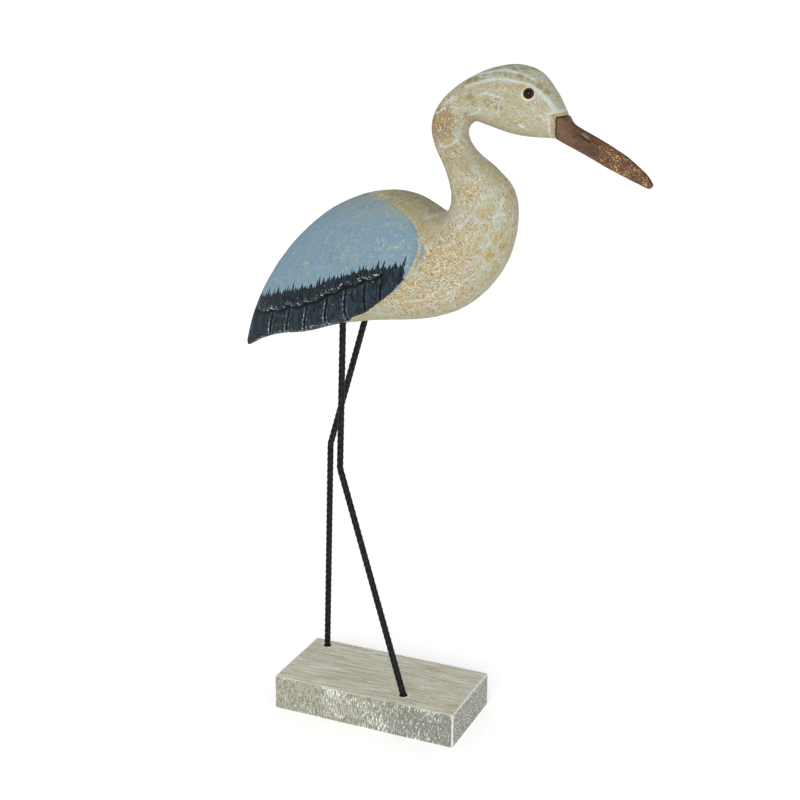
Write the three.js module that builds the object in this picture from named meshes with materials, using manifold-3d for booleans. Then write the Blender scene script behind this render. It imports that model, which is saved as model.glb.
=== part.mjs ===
// A wooden egret: one carved block for body, neck and head, a bill let into the head, two bead eyes,
// two legs of bent steel bar and a rectangular wood base. Millimetres; +X is the way the bird faces,
// +Z is up, and the origin is the centre of the base's underside. The bird's right side is -Y.
import * as THREE from "three";
import { mergeVertices } from "three/addons/utils/BufferGeometryUtils.js";
import Module from "manifold-3d";

const wasm = await Module();
wasm.setup();

// Driving dimensions.
const FIT_GAP = 0.3;
const BASE = { length: 133.5, width: 65, height: 25, cornerRadius: 1.6, easedEdge: 0.8 };
const ROD = { radius: 2, sides: 10, kneeRadius: 9, kneeSteps: 4 };
const SOCKET = { inBase: 15, topInBelly: 292 };
const EYE = { radius: 3.4, x: 100.9, y: 12.4, z: 427.7 };
const WING_RAISE = 1.8;
// The step for the bill: its back wall and its ledge, and how its sides flare beyond halfWidth.
const NOTCH = { back: 116.4, ledge: 415.2, front: 140, foot: 385, halfWidth: 9.3, flare: 4, slope: 0.9 };

// Each leg: a point on its upper straight below the belly, its knee, and its foot on top of the base.
const LEGS = {
  leg_right: { shank: [-19.4, -15, 273.6], knee: [-21.6, -17, 179.9], foot: [25.5, -20.3, 25] },
  leg_left: { shank: [-19.2, 15, 268.8], knee: [-46.5, 19, 181.5], foot: [-53.9, 23.8, 25] },
};

// Cross-sections of the carved bird from the tail to the face. back and belly are the two ends of
// the section's middle line, as [x, z]; half is its half width; wide is the height of its widest
// line as a share of the middle line; over and under say how square it is above and below that line.
const STATIONS = [
  { back: [-98, 254.5], belly: [-96.5, 251], half: 1.4, wide: 0.15, over: 2, under: 3 },
  { back: [-91, 277.5], belly: [-84.5, 257.5], half: 6.4, wide: 0.08, over: 1.8, under: 3 },
  { back: [-78, 302.5], belly: [-67.5, 264], half: 12.8, wide: 0.07, over: 1.8, under: 3 },
  { back: [-59, 327], belly: [-46.5, 268.5], half: 19.2, wide: 0.07, over: 1.9, under: 3 },
  { back: [-36, 347], belly: [-25, 275.2], half: 24.4, wide: 0.14, over: 2, under: 2.8 },
  { back: [-12.5, 359], belly: [-4.5, 279], half: 28, wide: 0.34, over: 2.1, under: 2.3 },
  { back: [10, 363.5], belly: [16, 281.5], half: 29.5, wide: 0.43, over: 2.1, under: 2.2 },
  { back: [26, 361], belly: [36, 284.7], half: 29.5, wide: 0.45, over: 2.1, under: 2.1 },
  { back: [37.5, 355], belly: [56.5, 292.3], half: 28.2, wide: 0.45, over: 2.1, under: 2.1 },
  { back: [44.6, 352.8], belly: [73.6, 306.8], half: 25.5, wide: 0.45, over: 2.1, under: 2.1 },
  { back: [48.2, 355.6], belly: [85.8, 326], half: 22, wide: 0.45, over: 2.1, under: 2.1 },
  { back: [49.6, 361.4], belly: [91.2, 350], half: 18.5, wide: 0.48, over: 2.1, under: 2.1 },
  { back: [48.3, 369.5], belly: [88.6, 368], half: 15.5, wide: 0.48, over: 2.1, under: 2.1 },
  { back: [44.6, 380], belly: [77.3, 380.4], half: 13.2, wide: 0.5, over: 2.1, under: 2.1 },
  { back: [39.8, 389.5], belly: [66.2, 388.4], half: 12, wide: 0.5, over: 2.1, under: 2.1 },
  { back: [36.6, 398.5], belly: [60.1, 395.5], half: 11.5, wide: 0.5, over: 2.1, under: 2.1 },
  { back: [36.4, 408.5], belly: [58.4, 401.8], half: 11.5, wide: 0.5, over: 2.1, under: 2.1 },
  { back: [41, 418.5], belly: [60.5, 406.2], half: 12, wide: 0.5, over: 2.1, under: 2.1 },
  { back: [50.1, 427.8], belly: [65.5, 408.6], half: 13, wide: 0.5, over: 2.1, under: 2.1 },
  { back: [62.7, 435.9], belly: [74, 406.2], half: 14.3, wide: 0.48, over: 2.1, under: 2.1 },
  { back: [77.3, 441.4], belly: [84.6, 403.2], half: 15.2, wide: 0.46, over: 2.1, under: 2.1 },
  { back: [91.3, 443], belly: [95.5, 401.4], half: 15.4, wide: 0.45, over: 2.1, under: 2.1 },
  { back: [103.8, 439.2], belly: [105.5, 401.2], half: 14.6, wide: 0.44, over: 2.1, under: 2.1 },
  { back: [112, 429.7], belly: [113.3, 401.3], half: 13, wide: 0.44, over: 2.2, under: 2.3 },
  { back: [118.6, 416.3], belly: [119.3, 401.3], half: 11.2, wide: 0.5, over: 2.6, under: 2.6 },
];
// How finely a skin is drawn: rings for each station, and steps up one side of a ring, below and
// above its widest line.
const BIRD_MESH = { rings: 3, under: 7, over: 9 };
const BILL_MESH = { rings: 2, under: 5, over: 5 };
// The wings' raised skin ends at this station; the plain skin starts inside it, and is drawn in there.
const WING_END = 8.5;
const PLAIN_START = 3.4;
const PLAIN_TRUE_FROM = 4.4;
const DRAWN_IN = 0.12;

// The bill from root to tip, in the same terms.
const BILL_STATIONS = [
  { back: [116.7, 414.9], belly: [116.7, 401.8], half: 9, wide: 0.5, over: 12, under: 12 },
  { back: [120.2, 414.4], belly: [119.3, 400.5], half: 9, wide: 0.5, over: 12, under: 12 },
  { back: [123.6, 411], belly: [122.3, 399], half: 8.8, wide: 0.45, over: 5, under: 9 },
  { back: [128.5, 408.1], belly: [126.4, 397], half: 8.4, wide: 0.4, over: 3, under: 6 },
  { back: [136.8, 404.4], belly: [133.3, 393.5], half: 7.6, wide: 0.4, over: 2.6, under: 5 },
  { back: [146, 399.8], belly: [141.6, 389.1], half: 6.8, wide: 0.4, over: 2.4, under: 4 },
  { back: [155, 394.9], belly: [150.4, 384.8], half: 5.9, wide: 0.4, over: 2.4, under: 4 },
  { back: [163.2, 389.1], belly: [158.8, 380.9], half: 4.8, wide: 0.4, over: 2.4, under: 3.5 },
  { back: [169.6, 383.6], belly: [166, 377.7], half: 3.6, wide: 0.45, over: 2.4, under: 3 },
  { back: [173, 379.3], belly: [170.6, 375.6], half: 2.2, wide: 0.5, over: 2.2, under: 2.4 },
  { back: [173.9, 377.7], belly: [172.7, 375.9], half: 1, wide: 0.5, over: 2, under: 2 },
];

// Side view of the wing's raised edge, from the ridge of the back round the shoulder to the thigh.
const WING_EDGE = [
  [-6, 364], [-2, 361], [8.5, 360], [19.5, 355.5], [27, 352], [33, 347], [37, 341.5], [38.4, 334.5],
  [37, 328.5], [34, 321], [29.5, 314], [24.5, 308], [16.5, 301.5], [7.5, 294.3], [-1, 288], [-12, 281.5],
];
// Behind that edge the outline runs clear of the bird, below the tail and over the back.
const WING_REAR = [[-16, 262], [-110, 240], [-110, 372], [-20, 372]];

// The long wing feathers: where the groove between each two starts, and how far down it runs.
const FEATHER_GROOVES = [
  [-71.7, 280], [-56.8, 285.5], [-41.5, 290], [-25, 298.5], [-10.5, 306], [3.5, 311.5], [15.5, 316],
];
const FEATHER = { drop: [17, 19, 19, 21.5, 24, 22, 16], lean: 3, steps: 5 };
const SCALLOP = { from: [-86, 277.5], sag: 1.8, steps: 4 };
const GROOVE = { width: 2.4, depth: 1.2, lift: 0.8 };
const NOSTRIL = { from: [126, 407.4], to: [136.5, 401.2], steps: 4 };

const wood = (color, roughness) => new THREE.MeshStandardMaterial({ color, roughness, metalness: 0 });
const MATERIALS = {
  carvedWood: wood(0xbdb497, 0.75),
  billWood: wood(0x6b4c3c, 0.6),
  bead: wood(0x1c1008, 0.1),
  blackSteel: new THREE.MeshStandardMaterial({ color: 0x24262a, roughness: 0.55, metalness: 0.2 }),
  baseWood: wood(0xb3aa94, 0.85),
};

// Joining and cutting of closed meshes.
function toSolid(geometry) {
  const bare = new THREE.BufferGeometry();
  bare.setAttribute("position", geometry.getAttribute("position"));
  bare.setIndex(geometry.getIndex());
  const merged = mergeVertices(bare, 1e-4);
  return new wasm.Manifold(
    new wasm.Mesh({
      numProp: 3,
      vertProperties: merged.attributes.position.array,
      triVerts: new Uint32Array(merged.index.array),
    }),
  );
}

function toGeometry(solid) {
  const { vertProperties, triVerts } = solid.getMesh();
  const geometry = new THREE.BufferGeometry();
  geometry.setAttribute("position", new THREE.BufferAttribute(vertProperties, 3));
  geometry.setIndex(new THREE.BufferAttribute(triVerts, 1));
  geometry.computeVertexNormals();
  return geometry;
}

// A closed skin over rings that have the same number of points, with a flat fan over each end.
// Its faces point out whichever way the rings run.
function skinOver(rings) {
  const around = rings[0].length;
  const points = rings.flat();
  const faces = [];
  for (let r = 0; r + 1 < rings.length; r++) {
    for (let i = 0; i < around; i++) {
      const a = r * around + i;
      const b = r * around + ((i + 1) % around);
      faces.push(a, b, b + around, a, b + around, a + around);
    }
  }
  const middle = (ring) => ring.reduce((sum, p) => sum.add(p), new THREE.Vector3());
  for (const [r, first] of [[0, true], [rings.length - 1, false]]) {
    const hub = points.length;
    points.push(middle(rings[r]).divideScalar(around));
    for (let i = 0; i < around; i++) {
      const a = r * around + i;
      const b = r * around + ((i + 1) % around);
      faces.push(hub, ...(first ? [b, a] : [a, b]));
    }
  }
  const geometry = new THREE.BufferGeometry().setFromPoints(points);
  geometry.setIndex(signedVolume(points, faces) < 0 ? faces.reverse() : faces);
  return geometry;
}

function signedVolume(points, faces) {
  let sum = 0;
  for (let i = 0; i < faces.length; i += 3) {
    const [a, b, c] = [points[faces[i]], points[faces[i + 1]], points[faces[i + 2]]];
    sum += a.dot(new THREE.Vector3().crossVectors(b, c)) / 6;
  }
  return sum;
}

// A smooth run through a list of stations: sectionAt(t) gives the section at station number t.
function fair(stations) {
  const curve = (pick) => new THREE.CatmullRomCurve3(
    stations.map((s) => new THREE.Vector3(...pick(s))), false, "catmullrom", 0.5,
  );
  const backs = curve((s) => [s.back[0], 0, s.back[1]]);
  const bellies = curve((s) => [s.belly[0], 0, s.belly[1]]);
  const girths = curve((s) => [s.half, s.wide, 0]);
  const squareness = curve((s) => [s.over, s.under, 0]);
  const last = stations.length - 1;
  return {
    last,
    sectionAt(t) {
      const u = t / last;
      const [half, wide] = girths.getPoint(u).toArray();
      const [over, under] = squareness.getPoint(u).toArray();
      return { back: backs.getPoint(u), belly: bellies.getPoint(u), half, wide, over, under };
    },
  };
}

// Half width of a section at a height given as a share of its middle line.
function halfWidth(section, height) {
  const { half, wide, over, under } = section;
  const [reach, power] = height > wide
    ? [(height - wide) / (1 - wide), over]
    : [(wide - height) / wide, under];
  return half * Math.pow(Math.max(0, 1 - Math.pow(reach, power)), 1 / power);
}

// Heights that split one side of a section, from low to high, into steps of even length.
function evenHeights(section, low, high, steps) {
  const length = section.back.distanceTo(section.belly);
  const samples = 64;
  const marks = [];
  let run = 0;
  let before = null;
  for (let i = 0; i <= samples; i++) {
    const ease = (1 - Math.cos((Math.PI * i) / samples)) / 2;
    const height = low + (high - low) * ease;
    const at = new THREE.Vector2(height * length, halfWidth(section, height));
    run += before ? at.distanceTo(before) : 0;
    marks.push([run, height]);
    before = at;
  }
  return Array.from({ length: steps + 1 }, (_, k) => {
    const goal = (run * k) / steps;
    const i = Math.max(1, marks.findIndex(([r]) => r >= goal - 1e-9));
    const [[r0, h0], [r1, h1]] = [marks[i - 1], marks[i]];
    return h0 + ((h1 - h0) * (goal - r0)) / (r1 - r0);
  });
}

// One ring of skin: up the right side from belly to back, and down the left side.
function ringOf(section, mesh) {
  const heights = [
    ...evenHeights(section, 0, section.wide, mesh.under),
    ...evenHeights(section, section.wide, 1, mesh.over).slice(1),
  ];
  const right = heights.map((height, i) => {
    const atEnd = i === 0 || i === heights.length - 1;
    const point = section.belly.clone().lerp(section.back, height);
    point.y = atEnd ? 0 : -halfWidth(section, height);
    return point;
  });
  const left = right.slice(1, -1).reverse().map((p) => new THREE.Vector3(p.x, -p.y, p.z));
  return [...right, ...left];
}

function drawnIn(ring, share) {
  const middle = ring[0].clone().lerp(ring[BIRD_MESH.under + BIRD_MESH.over], 0.5);
  return ring.map((p) => p.clone().lerp(middle, share));
}

const bird = fair(STATIONS);
const bill = fair(BILL_STATIONS);

function wingSection(t) {
  const section = bird.sectionAt(t);
  return { ...section, half: section.half + WING_RAISE };
}

function stationSteps(from, to, mesh) {
  const count = Math.round((to - from) * mesh.rings);
  return Array.from({ length: count + 1 }, (_, i) => from + ((to - from) * i) / count);
}

// Neck, head and breast, starting inside the wings.
function plainSkin() {
  const rings = stationSteps(PLAIN_START, bird.last, BIRD_MESH).map((t) => {
    const hidden = (PLAIN_TRUE_FROM - t) / (PLAIN_TRUE_FROM - PLAIN_START);
    const share = DRAWN_IN * THREE.MathUtils.clamp(hidden, 0, 1);
    return drawnIn(ringOf(bird.sectionAt(t), BIRD_MESH), share);
  });
  return toSolid(skinOver(rings));
}

// A flat outline in side view, as [x, z] points, made a block that spans the bird's whole width.
function sideBlock(outline, halfSpan) {
  const shape = new THREE.Shape(outline.map(([x, z]) => new THREE.Vector2(x, z)));
  const block = new THREE.ExtrudeGeometry(shape, { depth: 2 * halfSpan, bevelEnabled: false });
  block.rotateX(Math.PI / 2).translate(0, halfSpan, 0);
  return toSolid(block);
}

// Both wings and the tail: the skin raised, and kept only behind the wings' edge.
function wings() {
  const rings = stationSteps(0, WING_END, BIRD_MESH).map((t) => ringOf(wingSection(t), BIRD_MESH));
  return toSolid(skinOver(rings)).intersect(sideBlock([...WING_EDGE, ...WING_REAR], 60));
}

// Half width of a faired skin at a point of the side view, found by the section that passes there.
const LOWEST_CUT = 0.07;
function skinAt(sectionOf, last, [x, z]) {
  const point = new THREE.Vector3(x, 0, z);
  const offLine = (section) => {
    const line = section.back.clone().sub(section.belly);
    const away = point.clone().sub(section.belly);
    const off = (line.x * away.z - line.z * away.x) / line.length();
    return { off: Math.abs(off), share: away.dot(line) / line.lengthSq() };
  };
  let best = null;
  const tries = 40 * last;
  for (let i = 0; i <= tries; i++) {
    const section = sectionOf((last * i) / tries);
    const { off, share } = offLine(section);
    const inReach = share > -0.15 && share < 1.05;
    if (inReach && (!best || off < best.off)) best = { off, share, section };
  }
  return halfWidth(best.section, THREE.MathUtils.clamp(best.share, LOWEST_CUT, 1));
}

// A V-shaped cutter that follows a skin along a path of [x, z] points, on the side of sign y.
function grooveCutter(path, skinDepth, side) {
  const flare = (GROOVE.depth + GROOVE.lift) / GROOVE.depth;
  const rings = path.map((point, i) => {
    const [x0, z0] = path[Math.max(0, i - 1)];
    const [x1, z1] = path[Math.min(path.length - 1, i + 1)];
    const along = new THREE.Vector3(x1 - x0, 0, z1 - z0).normalize();
    const across = new THREE.Vector3(-along.z, 0, along.x).multiplyScalar((GROOVE.width / 2) * flare);
    const surface = skinDepth(point);
    const floor = new THREE.Vector3(point[0], side * (surface - GROOVE.depth), point[1]);
    const mouth = new THREE.Vector3(point[0], side * (surface + GROOVE.lift), point[1]);
    return [mouth.clone().add(across), floor, mouth.clone().sub(across)];
  });
  return toSolid(skinOver(rings));
}

function straightPath(from, to, steps) {
  const share = (i) => i / steps;
  return Array.from({ length: steps + 1 }, (_, i) => [
    THREE.MathUtils.lerp(from[0], to[0], share(i)),
    THREE.MathUtils.lerp(from[1], to[1], share(i)),
  ]);
}

// The groove above the long feathers hangs in a shallow arc from each feather groove to the next.
function scallopPath() {
  const posts = [SCALLOP.from, ...FEATHER_GROOVES];
  return posts.slice(1).reduce((path, post, k) => {
    const arc = straightPath(posts[k], post, SCALLOP.steps).slice(k ? 1 : 0);
    const sagged = arc.map(([x, z], i) => {
      const share = (k ? i + 1 : i) / SCALLOP.steps;
      return [x, z - 4 * SCALLOP.sag * share * (1 - share)];
    });
    return [...path, ...sagged];
  }, []);
}

function featherPaths() {
  return FEATHER_GROOVES.map(([x, z], i) =>
    straightPath([x, z], [x - FEATHER.lean, z - FEATHER.drop[i]], FEATHER.steps));
}

function carvedBody(cutters) {
  const skinDepth = (point) => skinAt(wingSection, WING_END, point);
  let body = plainSkin().add(wings());
  for (const side of [-1, 1]) {
    for (const path of [scallopPath(), ...featherPaths()]) {
      body = body.subtract(grooveCutter(path, skinDepth, side));
    }
  }
  return cutters.reduce((solid, cutter) => solid.subtract(cutter), body);
}

// The step cut for the bill's root, its sides flared so that the cheeks fall away to the bill.
function notchCutter() {
  const { back, ledge, front, foot, halfWidth: inner, flare, slope } = NOTCH;
  const frame = (y, grow) => [
    [back - grow, foot], [back - grow, ledge + grow], [front, ledge + grow], [front, foot],
  ].map(([x, z]) => new THREE.Vector3(x, y, z));
  const outer = inner + flare;
  const grow = flare * slope;
  return toSolid(skinOver([frame(-outer, grow), frame(-inner, 0), frame(inner, 0), frame(outer, grow)]));
}

function billSolid() {
  const rings = stationSteps(0, bill.last, BILL_MESH).map((t) => ringOf(bill.sectionAt(t), BILL_MESH));
  const skinDepth = (point) => skinAt(bill.sectionAt, bill.last, point);
  const path = straightPath(NOSTRIL.from, NOSTRIL.to, NOSTRIL.steps);
  return [-1, 1].reduce(
    (solid, side) => solid.subtract(grooveCutter(path, skinDepth, side)),
    toSolid(skinOver(rings)),
  );
}

// The line of a bent bar: straight, a short round bend at the knee, and straight again.
class BentBar extends THREE.Curve {
  constructor({ shank, knee, foot }, extra) {
    super();
    const [top, bend, sole] = [shank, knee, foot].map((p) => new THREE.Vector3(...p));
    const up = top.clone().sub(bend).normalize();
    const down = sole.clone().sub(bend).normalize();
    const reach = ROD.kneeRadius / Math.tan(up.angleTo(down) / 2);
    const end = sole.clone().addScaledVector(down, SOCKET.inBase + extra);
    const head = bend.clone().addScaledVector(up, (SOCKET.topInBelly - bend.z) / up.z + extra);
    const before = bend.clone().addScaledVector(down, reach);
    const after = bend.clone().addScaledVector(up, reach);
    const kneeBend = new THREE.QuadraticBezierCurve3(before, bend, after);
    this.stops = [end, ...kneeBend.getPoints(ROD.kneeSteps), head];
  }
  get steps() {
    return this.stops.length - 1;
  }
  getPoint(t) {
    const at = Math.min(t * this.steps, this.steps - 1e-9);
    return this.stops[Math.floor(at)].clone().lerp(this.stops[Math.floor(at) + 1], at % 1);
  }
  getUtoTmapping(u) {
    return u;
  }
}

function barAlong(leg, radius, extra) {
  const line = new BentBar(leg, extra);
  const turn = (i) => (2 * Math.PI * i) / ROD.sides;
  const section = new THREE.Shape(Array.from({ length: ROD.sides }, (_, i) =>
    new THREE.Vector2(radius * Math.cos(turn(i)), radius * Math.sin(turn(i)))));
  return new THREE.ExtrudeGeometry(section, { steps: line.steps, extrudePath: line });
}

function baseBlock() {
  const { length, width, height, cornerRadius, easedEdge } = BASE;
  const [x, y] = [length / 2 - easedEdge, width / 2 - easedEdge];
  const r = cornerRadius;
  const outline = new THREE.Shape();
  [[x, -y, -90], [x, y, 0], [-x, y, 90], [-x, -y, 180]].forEach(([cx, cy, from]) => {
    const start = THREE.MathUtils.degToRad(from);
    outline.absarc(cx - Math.sign(cx) * r, cy - Math.sign(cy) * r, r, start, start + Math.PI / 2, false);
  });
  const block = new THREE.ExtrudeGeometry(outline, {
    depth: height - 2 * easedEdge,
    bevelThickness: easedEdge,
    bevelSize: easedEdge,
    bevelSegments: 2,
    curveSegments: 3,
  });
  return toSolid(block.translate(0, 0, easedEdge));
}

function eyeBall(radius) {
  return new THREE.SphereGeometry(radius, 14, 8);
}

function named(name, geometry, material) {
  const mesh = new THREE.Mesh(geometry, material.clone());
  mesh.name = name;
  return mesh;
}

const EYES = { eye_right: -1, eye_left: 1 };
const eyeSockets = Object.values(EYES).map((side) =>
  toSolid(eyeBall(EYE.radius + FIT_GAP).translate(EYE.x, side * EYE.y, EYE.z)));
const legSockets = Object.values(LEGS).map((leg) =>
  toSolid(barAlong(leg, ROD.radius + FIT_GAP, FIT_GAP)));

const egret = new THREE.Group();
const head = new THREE.Group();
const legs = new THREE.Group();

const body = carvedBody([notchCutter(), ...eyeSockets, ...legSockets]);
egret.add(named("carved_body", toGeometry(body), MATERIALS.carvedWood));

head.add(named("bill", toGeometry(billSolid()), MATERIALS.billWood));
for (const [name, side] of Object.entries(EYES)) {
  const eye = named(name, eyeBall(EYE.radius), MATERIALS.bead);
  eye.position.set(EYE.x, side * EYE.y, EYE.z);
  head.add(eye);
}
for (const [name, leg] of Object.entries(LEGS)) {
  legs.add(named(name, barAlong(leg, ROD.radius, 0), MATERIALS.blackSteel));
}
const base = legSockets.reduce((solid, socket) => solid.subtract(socket), baseBlock());
egret.add(head, legs, named("base", toGeometry(base), MATERIALS.baseWood));

export default egret;
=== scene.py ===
import math
from types import SimpleNamespace

import bmesh
import bpy
import numpy as np
from mathutils import Matrix, Vector, noise


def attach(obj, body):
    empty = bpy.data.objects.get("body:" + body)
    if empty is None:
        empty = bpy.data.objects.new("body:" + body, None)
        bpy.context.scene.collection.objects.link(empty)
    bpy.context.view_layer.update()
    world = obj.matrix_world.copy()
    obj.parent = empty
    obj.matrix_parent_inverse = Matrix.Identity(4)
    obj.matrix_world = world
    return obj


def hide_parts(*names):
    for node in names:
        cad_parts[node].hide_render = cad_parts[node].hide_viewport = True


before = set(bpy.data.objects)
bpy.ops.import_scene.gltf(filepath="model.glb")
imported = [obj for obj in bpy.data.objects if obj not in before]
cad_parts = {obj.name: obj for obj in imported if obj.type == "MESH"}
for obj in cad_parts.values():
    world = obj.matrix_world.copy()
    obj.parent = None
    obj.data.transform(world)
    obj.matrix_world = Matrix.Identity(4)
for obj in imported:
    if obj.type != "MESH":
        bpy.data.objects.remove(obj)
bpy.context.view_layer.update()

# The numbers below are millimetres in the part's own frame: +X is the way the bird faces, +Z is up,
# and the bird's right side is -Y. MM turns them into the scene's metres.
MM = 0.001

# Cross-sections of the carved bird from the tail to the face: the two ends of the section's middle
# line in side view, its half width, the height of its widest line as a share of the middle line,
# and how square it is above and below that line.
BIRD = [
    # back x, back z, belly x, belly z, half, wide, over, under
    (-98, 254.5, -96.5, 251, 1.4, 0.15, 2, 3),
    (-91, 277.5, -84.5, 257.5, 6.4, 0.08, 1.8, 3),
    (-78, 302.5, -67.5, 264, 12.8, 0.07, 1.8, 3),
    (-59, 327, -46.5, 268.5, 19.2, 0.07, 1.9, 3),
    (-36, 347, -25, 275.2, 24.4, 0.14, 2, 2.8),
    (-12.5, 359, -4.5, 279, 28, 0.34, 2.1, 2.3),
    (10, 363.5, 16, 281.5, 29.5, 0.43, 2.1, 2.2),
    (26, 361, 36, 284.7, 29.5, 0.45, 2.1, 2.1),
    (37.5, 355, 56.5, 292.3, 28.2, 0.45, 2.1, 2.1),
    (44.6, 352.8, 73.6, 306.8, 25.5, 0.45, 2.1, 2.1),
    (48.2, 355.6, 85.8, 326, 22, 0.45, 2.1, 2.1),
    (49.6, 361.4, 91.2, 350, 18.5, 0.48, 2.1, 2.1),
    (48.3, 369.5, 88.6, 368, 15.5, 0.48, 2.1, 2.1),
    (44.6, 380, 77.3, 380.4, 13.2, 0.5, 2.1, 2.1),
    (39.8, 389.5, 66.2, 388.4, 12, 0.5, 2.1, 2.1),
    (36.6, 398.5, 60.1, 395.5, 11.5, 0.5, 2.1, 2.1),
    (36.4, 408.5, 58.4, 401.8, 11.5, 0.5, 2.1, 2.1),
    (41, 418.5, 60.5, 406.2, 12, 0.5, 2.1, 2.1),
    (50.1, 427.8, 65.5, 408.6, 13, 0.5, 2.1, 2.1),
    (62.7, 435.9, 74, 406.2, 14.3, 0.48, 2.1, 2.1),
    (77.3, 441.4, 84.6, 403.2, 15.2, 0.46, 2.1, 2.1),
    (91.3, 443, 95.5, 401.4, 15.4, 0.45, 2.1, 2.1),
    (103.8, 439.2, 105.5, 401.2, 14.6, 0.44, 2.1, 2.1),
    (112, 429.7, 113.3, 401.3, 13, 0.44, 2.2, 2.3),
    (117.6, 419.8, 117.2, 401.3, 11, 0.48, 2.5, 2.5),
    (121.3, 413.8, 121, 401.3, 6, 0.5, 2.6, 2.6),
]
BILL = [
    (116.7, 414.9, 116.7, 401.8, 9, 0.5, 8, 12),
    (120.2, 414.4, 119.3, 400.5, 8.9, 0.45, 5, 12),
    (123.6, 411, 122.3, 399, 8.7, 0.35, 2.4, 9),
    (128.5, 408.1, 126.4, 397, 8.4, 0.3, 1.8, 6),
    (136.8, 404.4, 133.3, 393.5, 7.6, 0.3, 1.7, 5),
    (146, 399.8, 141.6, 389.1, 6.8, 0.3, 1.7, 4),
    (155, 394.9, 150.4, 384.8, 5.9, 0.3, 1.7, 4),
    (163.2, 389.1, 158.8, 380.9, 4.8, 0.35, 1.8, 3.5),
    (169.6, 383.6, 166, 377.7, 3.6, 0.4, 2, 3),
    (173, 379.3, 170.6, 375.6, 2.2, 0.5, 2.2, 2.4),
    (173.9, 377.7, 172.7, 375.9, 1, 0.5, 2, 2),
]
LAST_STATION = len(BIRD) - 1
RINGS_PER_STATION = 5
POINTS_ROUND_BIRD = 48
POINTS_ROUND_BILL = 40
PROFILE_POINTS = 241
# How near to each end of the bill an extra ring keeps that end crisp, in stations.
END_RING = 0.06
BODY_VOXEL, BASE_VOXEL = 0.92, 0.85

# Side view of the wing's raised edge, from the ridge of the back round the shoulder to the thigh.
WING_EDGE = [
    (-6, 364), (-2, 361), (8.5, 360), (19.5, 355.5), (27, 352), (33, 347), (37, 341.5),
    (38.4, 334.5), (37, 328.5), (34, 321), (29.5, 314), (24.5, 308), (16.5, 301.5), (7.5, 294.3),
    (-1, 288), (-12, 281.5),
]
WING_REAR = [(-16, 262), (-110, 240), (-110, 372), (-20, 372)]
WING_RAISE = 1.8
# The wing is brushed along this slope, in degrees about each axis, and the bill along the other.
WING_SLOPE, BILL_SLOPE = (0, -33, 0), (0, 32, 0)

# The tops of the grooves between the long wing feathers, and how far down each one runs.
FEATHER_TOPS = [
    (-71.7, 280), (-56.8, 285.5), (-41.5, 290), (-25, 298.5), (-10.5, 306), (3.5, 311.5),
    (15.5, 316),
]
FEATHER_DROPS = [17, 19, 19, 21.5, 24, 22, 16]
FEATHER_LEAN = 3
SCALLOP_START = (-86, 277.5)
SCALLOP_SAG = 1.8
STEP_DEPTH = 1.5
GROOVE_DEPTH, GROOVE_HALF = 1.3, 0.85
SHOULDER_CREASE = [(32, 352.6), (36.5, 350.6), (40.6, 351), (43.8, 352), (46.5, 353.4)]
CREASE_DEPTH, CREASE_HALF = 0.7, 2.2
DEEPEST_CUT = 2.2
# The mesh is made finer this near to a carved line.
FINE_BAND = 1.6
# Thinner slivers than this are cleared from the seams of a cut.
SLIVER = 0.01
# Edges sharper than this, in degrees, are not shaded as if they were round.
SMOOTH_ANGLE = 35

BILL_BACK = 116.65
NOSTRIL = [(126, 407.4), (136.5, 401.2)]
NOSTRIL_DEPTH, NOSTRIL_HALF = 0.7, 0.6
KNOB_X, KNOB_Z, KNOB_HEIGHT, KNOB_RADIUS, KNOB_HALF = 124.5, 411.2, 0.7, 1.1, 2.5

EYE_RADIUS = 3.4
EYE_BACK = 2.6
EYE_GAP = 0.1
EYE_X, EYE_Y, EYE_Z = 100.9, 12.4, 427.7
FIT_GAP = 0.3
NOTCH_BACK, NOTCH_LEDGE, NOTCH_FRONT, NOTCH_FOOT = 116.4, 415.2, 140, 385
NOTCH_HALF, NOTCH_FLARE, NOTCH_SLOPE = 9.3, 4, 0.5

BASE_SIZE = (133.5, 65, 25)
BASE_BEVEL = 1.0
BAR_RADIUS = 2.3
BAR_POINTS = 24
RIB_PITCH = 4.3
RIB_HEIGHT = 0.26
RIB_ROWS = 8
RIB_TURN = 0.6
KNEE_RADIUS = 9
KNEE_STEPS = 13
SOCKET_IN_BASE = 15
SOCKET_TOP = 292
LEGS = {
    "leg_right": [(-19.4, -15, 273.6), (-21.6, -17, 179.9), (25.5, -20.3, 25)],
    "leg_left": [(-19.2, 15, 268.8), (-46.5, 19, 181.5), (-53.9, 23.8, 25)],
}

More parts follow.
